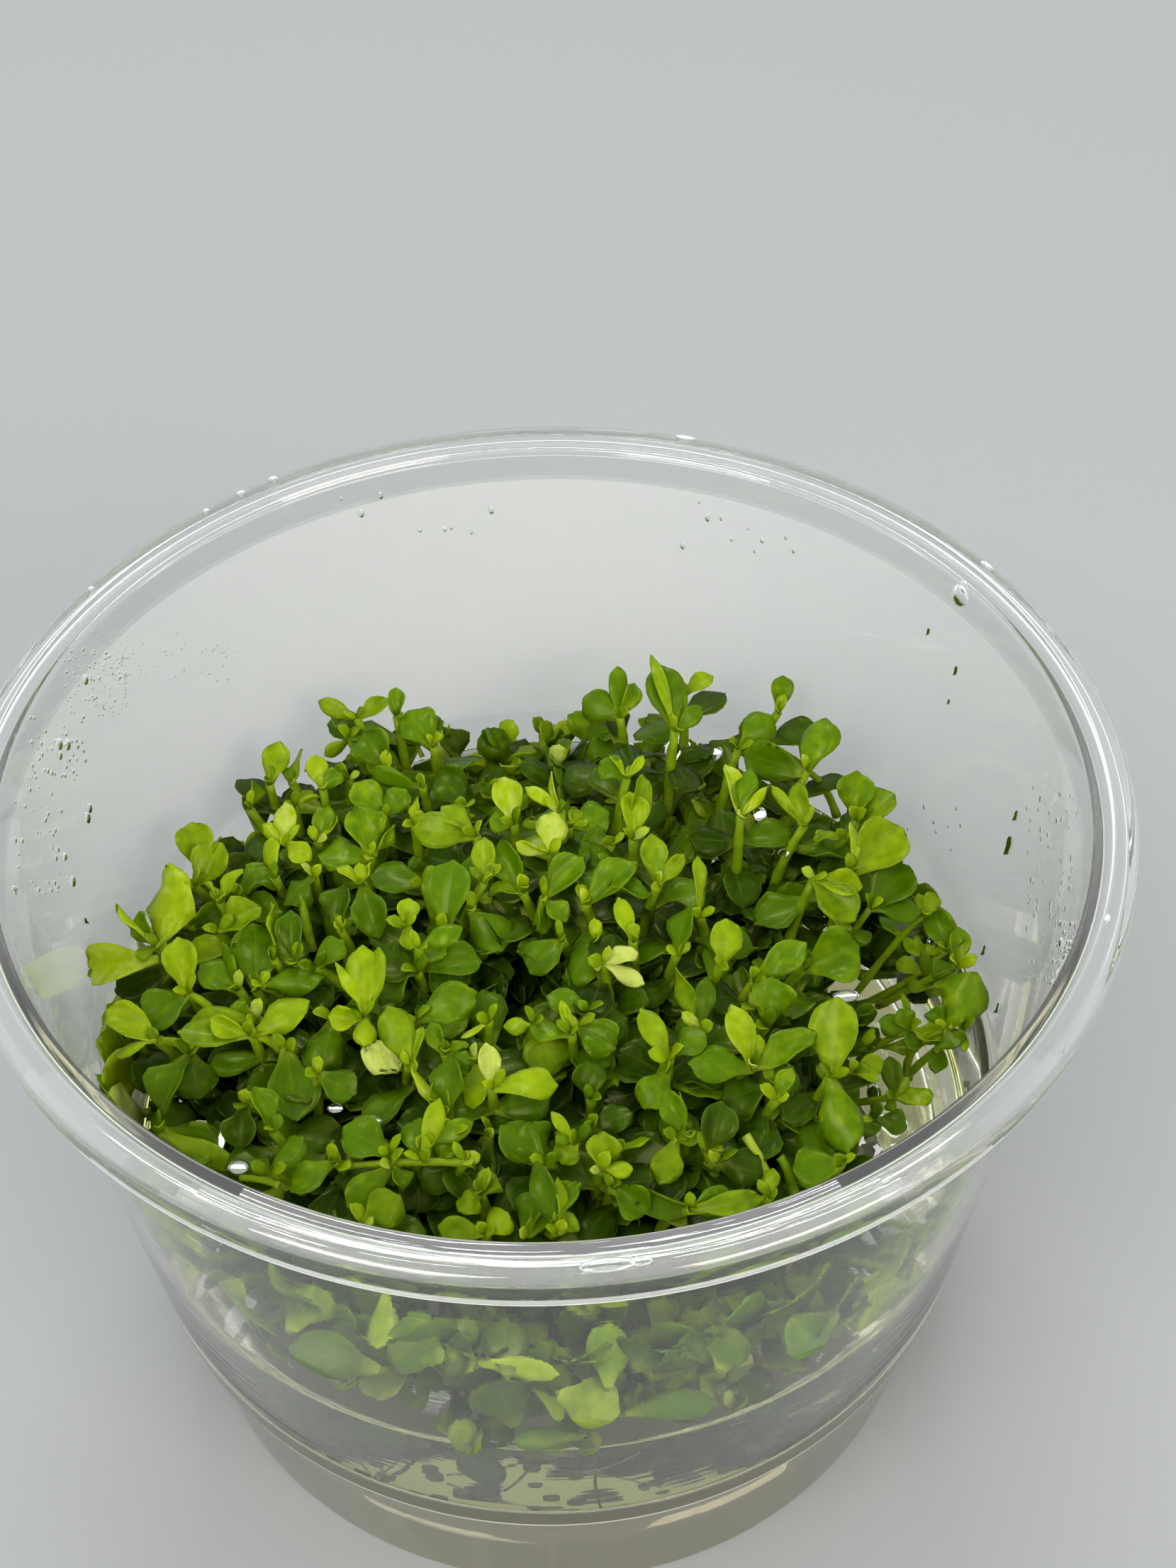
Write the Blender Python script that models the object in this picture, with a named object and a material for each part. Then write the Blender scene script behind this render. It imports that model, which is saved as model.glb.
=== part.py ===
# A clump of pearlweed standing in a clear moulded cup with a little water.
# Metres, +Z up. The origin is on the table, under the middle of the cup's foot.

import math

import bmesh
import bpy
from mathutils import Vector
from mathutils.bvhtree import BVHTree

MM = 0.001

# Cup: one clear moulding, 102 mm across its rim and 74 mm tall
RIM_HEIGHT = 74.0 * MM
RIM_RADIUS = 51.1 * MM
MOUTH_RADIUS = 47.2 * MM
SKIRT_DROP = 3.4 * MM
LEDGE_DROP = 0.55 * MM
WALL = 0.95 * MM
SHOULDER_HEIGHT = 19.6 * MM
SHOULDER_RADIUS = 42.6 * MM
SHOULDER_ROUND = 2.0 * MM
FOOT_RADIUS = 39.1 * MM
FOOT_WALL = 1.2 * MM
FLOOR_HEIGHT = 20.4 * MM
FLOOR_FILLET = 1.4 * MM
CUP_SEGMENTS = 56

# Water: fills the cup from its floor, with a pocket where the plants stand
WATER_LEVEL = 35.2 * MM
WATER_SEGMENTS = 48
GAP = 0.3 * MM

# Mat: the tangle of roots and stems that carries the leaves
MAT_CENTRE = Vector((1.0 * MM, 0.0, 0.0))
MAT_RADIUS = 36.6 * MM
MAT_BOTTOM = 23.6 * MM
MAT_TOP = 41.0 * MM
MAT_LUMP = 0.9 * MM
MAT_SEGMENTS = 40

# Shoots: a stem with crossed pairs of leaves, set out on a sunflower spiral
SHOOT_COUNT = 34
SPREAD_RADIUS = 33.5 * MM
GOLDEN_ANGLE = math.radians(137.508)
OUTWARD_LEAN = math.radians(22.0)
STEM_RADIUS = 0.62 * MM
NODE_HEIGHT = 0.8 * MM
SHORTEST_STEM = 6.5 * MM
TALLEST_STEM = 12.0 * MM
LEAF_LENGTH = 6.6 * MM
LEAF_WIDTH = 4.8 * MM
LEAF_THICKNESS = 0.5 * MM
PAIR_SIZES = (1.0, 0.86, 0.62)
PAIR_SLOPES = (math.radians(8.0), math.radians(26.0), math.radians(56.0))

# Colours
CLEAR_PLASTIC = (0.86, 0.89, 0.87, 1.0)
WATER_COLOUR = (0.80, 0.85, 0.70, 1.0)
ROOT_GREEN = (0.10, 0.17, 0.03, 1.0)
LEAF_GREEN = (0.20, 0.42, 0.03, 1.0)


def clear_scene():
    for old in list(bpy.data.objects):
        bpy.data.objects.remove(old, do_unlink=True)


def make_material(name, colour, roughness, transmission=0.0, ior=1.45):
    material = bpy.data.materials.new(name)
    material.use_nodes = True
    shader = material.node_tree.nodes["Principled BSDF"]
    shader.inputs["Base Color"].default_value = colour
    shader.inputs["Roughness"].default_value = roughness
    shader.inputs["Metallic"].default_value = 0.0
    shader.inputs["Transmission Weight"].default_value = transmission
    shader.inputs["IOR"].default_value = ior
    return material


def add_object(name, mesh, material, smooth_angle=None):
    mesh.materials.append(material)
    if smooth_angle is not None:
        mesh.shade_smooth()
        mesh.set_sharp_from_angle(angle=smooth_angle)
    placed = bpy.data.objects.new(name, mesh)
    bpy.context.scene.collection.objects.link(placed)
    return placed


def arc(centre_radius, centre_height, radius, start, end, steps):
    """Points on an arc in the outline's plane, angles in degrees from straight outwards."""
    points = []
    for step in range(steps + 1):
        angle = math.radians(start + (end - start) * step / steps)
        points.append((centre_radius + radius * math.cos(angle),
                       centre_height + radius * math.sin(angle)))
    return points


def turned_mesh(name, outline, segments):
    """Spin an outline of radius and height, which starts and ends on the axis, into a body."""
    bm = bmesh.new()
    points = [bm.verts.new((radius, 0.0, height)) for radius, height in outline]
    edges = [bm.edges.new(pair) for pair in zip(points, points[1:])]
    bmesh.ops.spin(bm, geom=points + edges, axis=(0.0, 0.0, 1.0), cent=(0.0, 0.0, 0.0),
                   steps=segments, angle=2.0 * math.pi, use_merge=True)
    bmesh.ops.remove_doubles(bm, verts=bm.verts, dist=0.001 * MM)
    bmesh.ops.dissolve_degenerate(bm, edges=bm.edges, dist=0.0001 * MM)
    bmesh.ops.recalc_face_normals(bm, faces=bm.faces)
    mesh = bpy.data.meshes.new(name)
    bm.to_mesh(mesh)
    bm.free()
    return mesh


def inner_wall_radius(height):
    """The wall leans outwards evenly from the floor to the mouth."""
    floor_radius = SHOULDER_RADIUS - WALL
    share = (height - FLOOR_HEIGHT) / (RIM_HEIGHT - FLOOR_HEIGHT)
    return floor_radius + (MOUTH_RADIUS - floor_radius) * share


def cup_outline():
    """Under the floor, down and up the hollow foot, up the wall, over the rim and down inside."""
    floor_underside = FLOOR_HEIGHT - 1.1 * MM
    foot_edge = 0.25 * MM
    foot_top_radius = FOOT_RADIUS + 1.2 * MM
    skirt_wall = 0.9 * MM
    rim_round = 0.8 * MM
    under_rim = RIM_HEIGHT - 1.2 * MM
    ledge_radius = MOUTH_RADIUS + 1.4 * MM
    wall_foot = FLOOR_HEIGHT + FLOOR_FILLET

    outline = [(0.0, floor_underside)]
    outline.append((foot_top_radius - FOOT_WALL, floor_underside))
    outline.append((FOOT_RADIUS - FOOT_WALL, foot_edge))
    outline.append((FOOT_RADIUS - FOOT_WALL + foot_edge, 0.0))
    outline.append((FOOT_RADIUS - foot_edge, 0.0))
    outline.append((FOOT_RADIUS, foot_edge))
    outline.append((foot_top_radius, SHOULDER_HEIGHT - SHOULDER_ROUND))
    outline += arc(SHOULDER_RADIUS - SHOULDER_ROUND, SHOULDER_HEIGHT, SHOULDER_ROUND,
                   -80.0, 0.0, 3)
    outline.append((inner_wall_radius(under_rim) + WALL, under_rim))
    outline.append((RIM_RADIUS - skirt_wall, under_rim))
    outline.append((RIM_RADIUS - skirt_wall, RIM_HEIGHT - SKIRT_DROP))
    outline.append((RIM_RADIUS, RIM_HEIGHT - SKIRT_DROP))
    outline += arc(RIM_RADIUS - rim_round, RIM_HEIGHT - rim_round, rim_round, 0.0, 90.0, 3)
    outline.append((ledge_radius + 0.3 * MM, RIM_HEIGHT))
    outline.append((ledge_radius, RIM_HEIGHT - LEDGE_DROP))
    outline.append((MOUTH_RADIUS, RIM_HEIGHT - LEDGE_DROP))
    outline += arc(inner_wall_radius(wall_foot) - FLOOR_FILLET, wall_foot, FLOOR_FILLET,
                   0.0, -90.0, 3)
    outline.append((0.0, FLOOR_HEIGHT))
    return outline


def water_outline():
    corner = FLOOR_FILLET
    bottom = FLOOR_HEIGHT + GAP
    pocket_radius = MAT_RADIUS + MAT_LUMP + MAT_CENTRE.x + 2.0 * GAP
    pocket_floor = MAT_BOTTOM - GAP
    side = inner_wall_radius(bottom + corner) - GAP

    outline = [(0.0, bottom)]
    outline += arc(side - corner, bottom + corner, corner, -90.0, 0.0, 3)
    outline.append((inner_wall_radius(WATER_LEVEL) - GAP, WATER_LEVEL))
    outline.append((pocket_radius, WATER_LEVEL))
    outline.append((pocket_radius, pocket_floor))
    outline.append((0.0, pocket_floor))
    return outline


def mat_mesh():
    """A flat-bottomed turned lump whose side and top go in and out in slow waves."""
    bottom_round = 3.0 * MM
    outline = [(0.0, MAT_BOTTOM), (MAT_RADIUS - bottom_round, MAT_BOTTOM)]
    outline.append((MAT_RADIUS, MAT_BOTTOM + bottom_round))
    outline.append((MAT_RADIUS, MAT_TOP - 4.0 * MM))
    outline.append((MAT_RADIUS - 1.2 * MM, MAT_TOP - 1.0 * MM))
    outline += [(MAT_RADIUS * share, MAT_TOP) for share in (0.90, 0.68, 0.46, 0.24)]
    outline.append((0.0, MAT_TOP))
    mesh = turned_mesh("root_mat", outline, MAT_SEGMENTS)
    for vertex in mesh.vertices:
        place = vertex.co
        turn = math.atan2(place.y, place.x)
        out = Vector((math.cos(turn), math.sin(turn), 0.0))
        if place.z > MAT_BOTTOM + MM and place.xy.length > 0.95 * MAT_RADIUS:
            place += out * MAT_LUMP * math.sin(9.0 * turn + 400.0 * place.z)
        if place.z > MAT_TOP - 0.5 * MM:
            place.z += MAT_LUMP * math.sin(260.0 * place.x) * math.cos(310.0 * place.y)
        place += MAT_CENTRE
    return mesh


def grow_leaf(bm, root, slope, length, width, steps):
    """Draw one side of the stem out into a leaf: a narrow stalk, a broad blade, a blunt tip."""
    out = root.normal.copy()
    side = Vector((0.0, 0.0, 1.0)).cross(out)
    direction = out * math.cos(slope) + Vector((0.0, 0.0, 1.0)) * math.sin(slope)
    up = direction.cross(side)
    start = root.calc_center_median()
    face = root
    for share, breadth, lift in steps:
        face = bmesh.ops.extrude_discrete_faces(bm, faces=[face])["faces"][0]
        middle = face.calc_center_median()
        centre = start + direction * length * share + up * length * lift
        for vertex in face.verts:
            across = math.copysign(0.5, (vertex.co - middle).dot(side))
            above = math.copysign(0.5, (vertex.co - middle).z)
            vertex.co = centre + side * across * width * breadth + up * above * LEAF_THICKNESS


def shoot_bmesh(stem_height, leaf_scale):
    """A four-sided stem with a crossed pair of leaves at each of its nodes."""
    bm = bmesh.new()
    pitch = (stem_height - NODE_HEIGHT) / len(PAIR_SIZES)
    levels = [0.0]
    for pair in range(len(PAIR_SIZES)):
        node = pitch * (pair + 1)
        levels += [node, node + NODE_HEIGHT]
    rings = []
    for level in levels:
        ring = []
        for corner in range(4):
            turn = math.radians(45.0 + 90.0 * corner)
            ring.append(bm.verts.new((STEM_RADIUS * math.cos(turn),
                                      STEM_RADIUS * math.sin(turn), level)))
        rings.append(ring)
    sides = []
    for low, high in zip(rings, rings[1:]):
        sides.append([bm.faces.new((low[k], low[(k + 1) % 4], high[(k + 1) % 4], high[k]))
                      for k in range(4)])
    bm.faces.new(reversed(rings[0]))
    bm.faces.new(rings[-1])
    bm.normal_update()
    blade = ((0.26, 0.5, 0.0), (0.62, 1.0, 0.07), (1.0, 0.42, 0.02))
    bud = ((0.55, 1.0, 0.06), (1.0, 0.42, 0.0))
    for pair, size in enumerate(PAIR_SIZES):
        node_sides = sides[2 * pair + 1]
        for k in (pair % 2, pair % 2 + 2):
            grow_leaf(bm, node_sides[k], PAIR_SLOPES[pair], LEAF_LENGTH * size * leaf_scale,
                      LEAF_WIDTH * size * leaf_scale, blade if pair == 0 else bud)
    return bm


def placed_shoot(base, stem_height, leaf_scale, turn, lean_direction, lean):
    """Turn a shoot about its stem, bend it over and stand it on its place on the mat."""
    bm = shoot_bmesh(stem_height, leaf_scale)
    for vertex in bm.verts:
        x, y, z = vertex.co
        bent = lean_direction * math.tan(lean) * z * max(z, 0.0) / stem_height
        vertex.co = base + bent + Vector((x * math.cos(turn) - y * math.sin(turn),
                                          x * math.sin(turn) + y * math.cos(turn), z))
    bmesh.ops.triangulate(bm, faces=bm.faces)
    bm.normal_update()
    return bm


def clearance_tree(bm):
    """The shape grown by half the gap, for testing that neighbours stay apart."""
    grown = bm.copy()
    grown.normal_update()
    for vertex in grown.verts:
        vertex.co += vertex.normal * 0.5 * GAP
    tree = BVHTree.FromBMesh(grown)
    grown.free()
    return tree


def mesh_tree(mesh):
    bm = bmesh.new()
    bm.from_mesh(mesh)
    tree = BVHTree.FromBMesh(bm)
    bm.free()
    return tree


def ground_height(mat_tree, place):
    """The highest point of the mat under a stem's foot."""
    heights = []
    for corner in range(8):
        turn = math.radians(45.0 * corner)
        probe = place + Vector((math.cos(turn), math.sin(turn), 0.0)) * 1.3 * STEM_RADIUS
        probe.z = RIM_HEIGHT
        hit = mat_tree.ray_cast(probe, Vector((0.0, 0.0, -1.0)))[0]
        heights.append(hit.z)
    return max(heights)


def add_shoots(leaf_material, mat, cup):
    """Stand each shoot on the mat, turning it until its leaves miss all the others."""
    mat_tree = mesh_tree(mat.data)
    placed_trees = [mat_tree, mesh_tree(cup.data)]
    for index in range(SHOOT_COUNT):
        share = math.sqrt((index + 0.5) / SHOOT_COUNT)
        bearing = index * GOLDEN_ANGLE
        out = Vector((math.cos(bearing), math.sin(bearing), 0.0))
        base = MAT_CENTRE + out * SPREAD_RADIUS * share
        base.z = ground_height(mat_tree, base) + GAP
        rise = 0.5 + 0.5 * math.sin(7.0 * index)
        stem_height = SHORTEST_STEM + (TALLEST_STEM - SHORTEST_STEM) * rise
        lean = OUTWARD_LEAN * share ** 2
        for attempt in range(60):
            turn = bearing + math.radians(17.0 * attempt)
            leaf_scale = 1.0 - 0.06 * (attempt // 12)
            bm = placed_shoot(base, stem_height, leaf_scale, turn, out, lean)
            tree = clearance_tree(bm)
            if not any(tree.overlap(other) for other in placed_trees):
                break
            bm.free()
        else:
            raise RuntimeError("no room for shoot %d" % (index + 1))
        placed_trees.append(tree)
        mesh = bpy.data.meshes.new("shoot_%02d" % (index + 1))
        bm.to_mesh(mesh)
        bm.free()
        add_object(mesh.name, mesh, leaf_material)


def main():
    clear_scene()
    plastic = make_material("clear_plastic", CLEAR_PLASTIC, 0.06, transmission=1.0, ior=1.49)
    water_look = make_material("water", WATER_COLOUR, 0.02, transmission=1.0, ior=1.333)
    roots = make_material("roots_and_stems", ROOT_GREEN, 0.55)
    leaf = make_material("leaf", LEAF_GREEN, 0.38)

    smooth = math.radians(30.0)
    cup = add_object("cup", turned_mesh("cup", cup_outline(), CUP_SEGMENTS), plastic, smooth)
    add_object("water", turned_mesh("water", water_outline(), WATER_SEGMENTS), water_look, smooth)
    mat = add_object("root_mat", mat_mesh(), roots, smooth)
    add_shoots(leaf, mat, cup)


main()
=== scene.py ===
import math

import bpy
import numpy as np
from mathutils import Matrix


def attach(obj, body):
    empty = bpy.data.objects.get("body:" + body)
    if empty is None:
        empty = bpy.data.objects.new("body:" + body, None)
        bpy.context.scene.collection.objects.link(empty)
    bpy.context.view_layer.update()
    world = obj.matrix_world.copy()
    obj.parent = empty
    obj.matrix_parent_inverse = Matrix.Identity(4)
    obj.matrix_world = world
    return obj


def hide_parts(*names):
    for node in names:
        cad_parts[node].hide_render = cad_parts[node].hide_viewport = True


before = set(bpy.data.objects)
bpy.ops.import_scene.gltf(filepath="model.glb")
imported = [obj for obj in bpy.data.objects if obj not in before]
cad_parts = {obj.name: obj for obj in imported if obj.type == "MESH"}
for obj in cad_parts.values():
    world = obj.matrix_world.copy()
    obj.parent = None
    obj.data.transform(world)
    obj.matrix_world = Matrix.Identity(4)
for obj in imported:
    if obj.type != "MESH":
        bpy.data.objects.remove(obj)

mm = 0.001
scene = bpy.context.scene
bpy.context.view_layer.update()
print("frame loaded with", len(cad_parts), "nodes")

# Camera, floor and light
cameraPlan = {
    "at": (3.9, -131.35, 204.1),    # mm
    "tilt": 44.86,                  # degrees up from looking straight down
    "roll": -0.82,                  # degrees about the line of sight
    "focalPixels": 3000.0,
    "imageSize": (1659.0, 2212.0),
    "sensor": 36.0,
    "clip": (0.01, 20.0),           # m
}
lightPlan = {
    "worldColour": (0.93, 0.97, 1.0),
    "worldStrength": 1.15,
    "floorColour": (0.243, 0.254, 0.254),
    "floorRoughness": 0.7,
    "floorHalf": 3.0,               # m
    "aim": (0.0, 0.0, 0.04),
    "backPlace": (-0.05, 0.78, 1.30),
    "backSize": (0.60, 0.18),
    "backWatts": 7.8,
    "backColour": (1.0, 1.0, 1.0),
    "topPlace": (-0.40, -0.55, 0.95),
    "topSize": (0.50, 0.50),
    "topWatts": 8.2,
    "topColour": (1.0, 0.97, 0.93),
    "sidePlace": (0.50, -0.62, 0.55),
    "sideSize": (0.50, 0.30),
    "sideWatts": 5.8,
    "sideColour": (1.0, 0.90, 0.80),
}


def makeCamera():
    data = bpy.data.cameras.new("camera")
    data.sensor_width = cameraPlan["sensor"]
    data.lens = cameraPlan["focalPixels"] * cameraPlan["sensor"] / cameraPlan["imageSize"][1]
    data.clip_start, data.clip_end = cameraPlan["clip"]
    camera = bpy.data.objects.new("camera", data)
    camera.location = [c * mm for c in cameraPlan["at"]]
    turn = Matrix.Rotation(math.radians(cameraPlan["tilt"]), 3, "X")
    turn = turn @ Matrix.Rotation(math.radians(cameraPlan["roll"]), 3, "Z")
    camera.rotation_euler = turn.to_euler()
    scene.collection.objects.link(camera)
    scene.camera = camera


def throughPixel(px, py, height):
    # The place, in mm, where the line of sight through a pixel of the photo meets the level plane at height
    px, py, height = (np.asarray(v, float) for v in (px, py, height))
    tilt = math.radians(cameraPlan["tilt"])
    roll = math.radians(cameraPlan["roll"])
    inX = (px - cameraPlan["imageSize"][0] / 2.0) / cameraPlan["focalPixels"]
    inY = (py - cameraPlan["imageSize"][1] / 2.0) / cameraPlan["focalPixels"]
    right = inX * math.cos(roll) + inY * math.sin(roll)
    down = inY * math.cos(roll) - inX * math.sin(roll)
    wayY = math.sin(tilt) - down * math.cos(tilt)
    wayZ = -math.cos(tilt) - down * math.sin(tilt)
    far = (height - cameraPlan["at"][2]) / wayZ
    return np.stack([cameraPlan["at"][0] + right * far, cameraPlan["at"][1] + wayY * far,
                     height + 0.0 * far], axis=-1)


def aimAt(thing, target):
    way = np.array(target) - np.array(thing.location)
    flat = math.hypot(way[0], way[1])
    thing.rotation_euler = (math.atan2(flat, -way[2]), 0.0, math.atan2(way[1], way[0]) - math.pi / 2.0)


def addLight(name, place, size, watts, colour):
    data = bpy.data.lights.new(name, "AREA")
    data.shape = "RECTANGLE"
    data.size, data.size_y = size
    data.energy = watts
    data.color = colour
    light = bpy.data.objects.new(name, data)
    light.location = place
    aimAt(light, lightPlan["aim"])
    scene.collection.objects.link(light)


def setLights():
    world = bpy.data.worlds.new("softRoom")
    world.use_nodes = True
    background = world.node_tree.nodes["Background"]
    background.inputs["Color"].default_value = (*lightPlan["worldColour"], 1.0)
    background.inputs["Strength"].default_value = lightPlan["worldStrength"]
    scene.world = world
    for name, side in (("backWindow", "back"), ("topSoft", "top"), ("sideWarm", "side")):
        addLight(name, lightPlan[side + "Place"], lightPlan[side + "Size"], lightPlan[side + "Watts"],
                 lightPlan[side + "Colour"])
    scene.view_settings.view_transform = "Standard"


def newMaterial(name):
    material = bpy.data.materials.new(name)
    material.use_nodes = True
    return material, material.node_tree, material.node_tree.nodes["Principled BSDF"]


def nodeOf(tree, kind, **values):
    node = tree.nodes.new(kind)
    for key, value in values.items():
        setattr(node, key, value)
    return node


def mathNode(tree, operation, first, second=None, clamp=False):
    node = nodeOf(tree, "ShaderNodeMath", operation=operation, use_clamp=clamp)
    for slotNumber, value in enumerate((first, second)):
        if value is None:
            continue
        if hasattr(value, "links"):
            tree.links.new(value, node.inputs[slotNumber])
        else:
            node.inputs[slotNumber].default_value = value
    return node.outputs[0]


def objectPlace(tree):
    return nodeOf(tree, "ShaderNodeTexCoord").outputs["Object"]


def splitParts(tree, vector):
    split = nodeOf(tree, "ShaderNodeSeparateXYZ")
    tree.links.new(vector, split.inputs["Vector"])
    return [split.outputs[axis] for axis in ("X", "Y", "Z")]


def noiseAt(tree, place, scale, detail):
    noise = nodeOf(tree, "ShaderNodeTexNoise")
    noise.inputs["Scale"].default_value = scale
    noise.inputs["Detail"].default_value = detail
    tree.links.new(place, noise.inputs["Vector"])
    return noise.outputs["Fac"]


def addBump(tree, shader, height, strength, distance):
    bump = nodeOf(tree, "ShaderNodeBump")
    bump.inputs["Strength"].default_value = strength
    bump.inputs["Distance"].default_value = distance
    tree.links.new(height, bump.inputs["Height"])
    tree.links.new(bump.outputs["Normal"], shader.inputs["Normal"])


def clearMaterial(name, through, roughness, colour, bending):
    material, tree, shader = newMaterial(name)
    shader.inputs["Base Color"].default_value = (*colour, 1.0)
    shader.inputs["Roughness"].default_value = roughness
    shader.inputs["IOR"].default_value = bending
    shader.inputs["Transmission Weight"].default_value = through
    return material, tree, shader


def makeFloor():
    half = lightPlan["floorHalf"]
    mesh = bpy.data.meshes.new("floor")
    mesh.from_pydata([(-half, -half, 0), (half, -half, 0), (half, half, 0), (-half, half, 0)], [],
                     [(0, 1, 2, 3)])
    floor = bpy.data.objects.new("floor", mesh)
    scene.collection.objects.link(floor)
    material, tree, shader = newMaterial("paleFloor")
    shader.inputs["Base Color"].default_value = (*lightPlan["floorColour"], 1.0)
    shader.inputs["Roughness"].default_value = lightPlan["floorRoughness"]
    mesh.materials.append(material)


makeCamera()
setLights()
makeFloor()
print("camera, lights and floor set")


# Meshes from arrays
def addPiece(name, points, quads, tris, material, replaced=()):
    # points in mm; quads and tris are rows of point numbers
    mesh = bpy.data.meshes.new(name)
    corners = np.concatenate([quads.ravel(), tris.ravel()]).astype(np.int32)
    sizes = np.concatenate([np.full(len(quads), 4), np.full(len(tris), 3)])
    starts = (np.cumsum(sizes) - sizes).astype(np.int32)
    mesh.vertices.add(len(points))
    mesh.vertices.foreach_set("co", (points * mm).astype(np.float32).ravel())
    mesh.loops.add(len(corners))
    mesh.loops.foreach_set("vertex_index", corners)
    mesh.polygons.add(len(sizes))
    mesh.polygons.foreach_set("loop_start", starts)
    mesh.polygons.foreach_set("use_smooth", np.ones(len(sizes), bool))
    mesh.update(calc_edges=True)
    mesh.validate()
    mesh.materials.append(material)
    piece = bpy.data.objects.new(name, mesh)
    scene.collection.objects.link(piece)
    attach(piece, "root")
    if replaced:
        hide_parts(*replaced)
    return piece


noTris = np.zeros((0, 3), int)


def gridQuads(rows, columns, closed=False):
    # Quads of a rows x columns grid of points, counted row by row; closed joins the last column to the first
    across = columns if closed else columns - 1
    row, column = np.meshgrid(np.arange(rows - 1), np.arange(across), indexing="ij")
    ahead = (column + 1) % columns
    return np.stack([row * columns + column, row * columns + ahead,
                     (row + 1) * columns + ahead, (row + 1) * columns + column], -1).reshape(-1, 4)


def turned(profile, segments):
    # A profile of (radius, height) carried round the Z axis; a profile end on the axis closes as a fan
    profile = np.array(profile, float)
    capLow, capHigh = profile[0, 0] < 1e-6, profile[-1, 0] < 1e-6
    body = profile[int(capLow):len(profile) - int(capHigh)]
    turn = 2.0 * math.pi * np.arange(segments) / segments
    ring = np.stack([np.cos(turn), np.sin(turn)], -1)
    points = np.concatenate([body[:, None, :1] * ring[None], np.repeat(body[:, None, 1:], segments, 1)],
                            -1).reshape(-1, 3)
    quads = gridQuads(len(body), segments, closed=True)
    tris = []
    number = np.arange(segments)
    ahead = (number + 1) % segments
    if capLow:
        tris.append(np.stack([np.full(segments, len(points)), ahead, number], -1))
        points = np.vstack([points, [[0.0, 0.0, profile[0, 1]]]])
    if capHigh:
        last = (len(body) - 1) * segments
        tris.append(np.stack([np.full(segments, len(points)), last + number, last + ahead], -1))
        points = np.vstack([points, [[0.0, 0.0, profile[-1, 1]]]])
    return points, quads, np.concatenate(tris) if tris else noTris


def bend(centreRadius, centreHeight, radius, start, end, steps):
    # Points of a round corner of a profile, from one angle to another in degrees
    angles = np.radians(np.linspace(start, end, steps + 1))
    return [(centreRadius + radius * math.cos(a), centreHeight + radius * math.sin(a)) for a in angles]


# Cup
cup = {
    "rimHeight": 74.0,
    "rimRadius": 51.1,
    "mouthRadius": 47.2,
    "skirtDrop": 3.4,
    "skirtWall": 0.9,
    "ledgeDrop": 0.55,
    "ledgeWidth": 1.4,
    "wall": 0.95,
    "shoulderHeight": 19.6,
    "shoulderRadius": 42.6,
    "shoulderRound": 2.0,
    "footRadius": 39.1,
    "footWall": 1.2,
    "floorHeight": 20.4,
    "floorThickness": 1.1,
    "floorFillet": 1.4,
    "footFlare": 1.2,           # the foot is this much wider at its top, from flareFrom upwards
    "flareFrom": 0.5,
    "kneeDrop": 0.4,            # the small step under the shoulder: depth and width
    "kneeStep": 0.1,
    "ledgeTopAt": 0.55,         # the ledge's step inside the rim: how far out its two corners are rounded
    "ledgeFootAt": 0.1,
    "toeHeight": 0.3,
    "flange": 1.2,              # the rim's thickness
    "floorRing": 20.0,          # radius of a ring of points in the floor
    "outerHeights": (24.0, 40.0, 56.0, 70.0),
    "innerHeights": (70.0, 56.0, 40.0, 28.0),
    "segments": 240,
}
cupRounds = {                   # radii of the rounded edges
    "footTop": 0.8,
    "toe": 0.35,
    "underFlange": 0.7,
    "skirtInside": 0.5,
    "skirtFoot": 0.42,
    "rim": 1.0,
    "ledgeTop": 0.25,
    "ledgeFoot": 0.12,
    "mouth": 0.45,
}


def innerWall(height):
    # Radius inside the wall, which leans out evenly from the floor to the mouth
    atFloor = cup["shoulderRadius"] - cup["wall"]
    share = (height - cup["floorHeight"]) / (cup["rimHeight"] - cup["floorHeight"])
    return atFloor + (cup["mouthRadius"] - atFloor) * share


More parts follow.
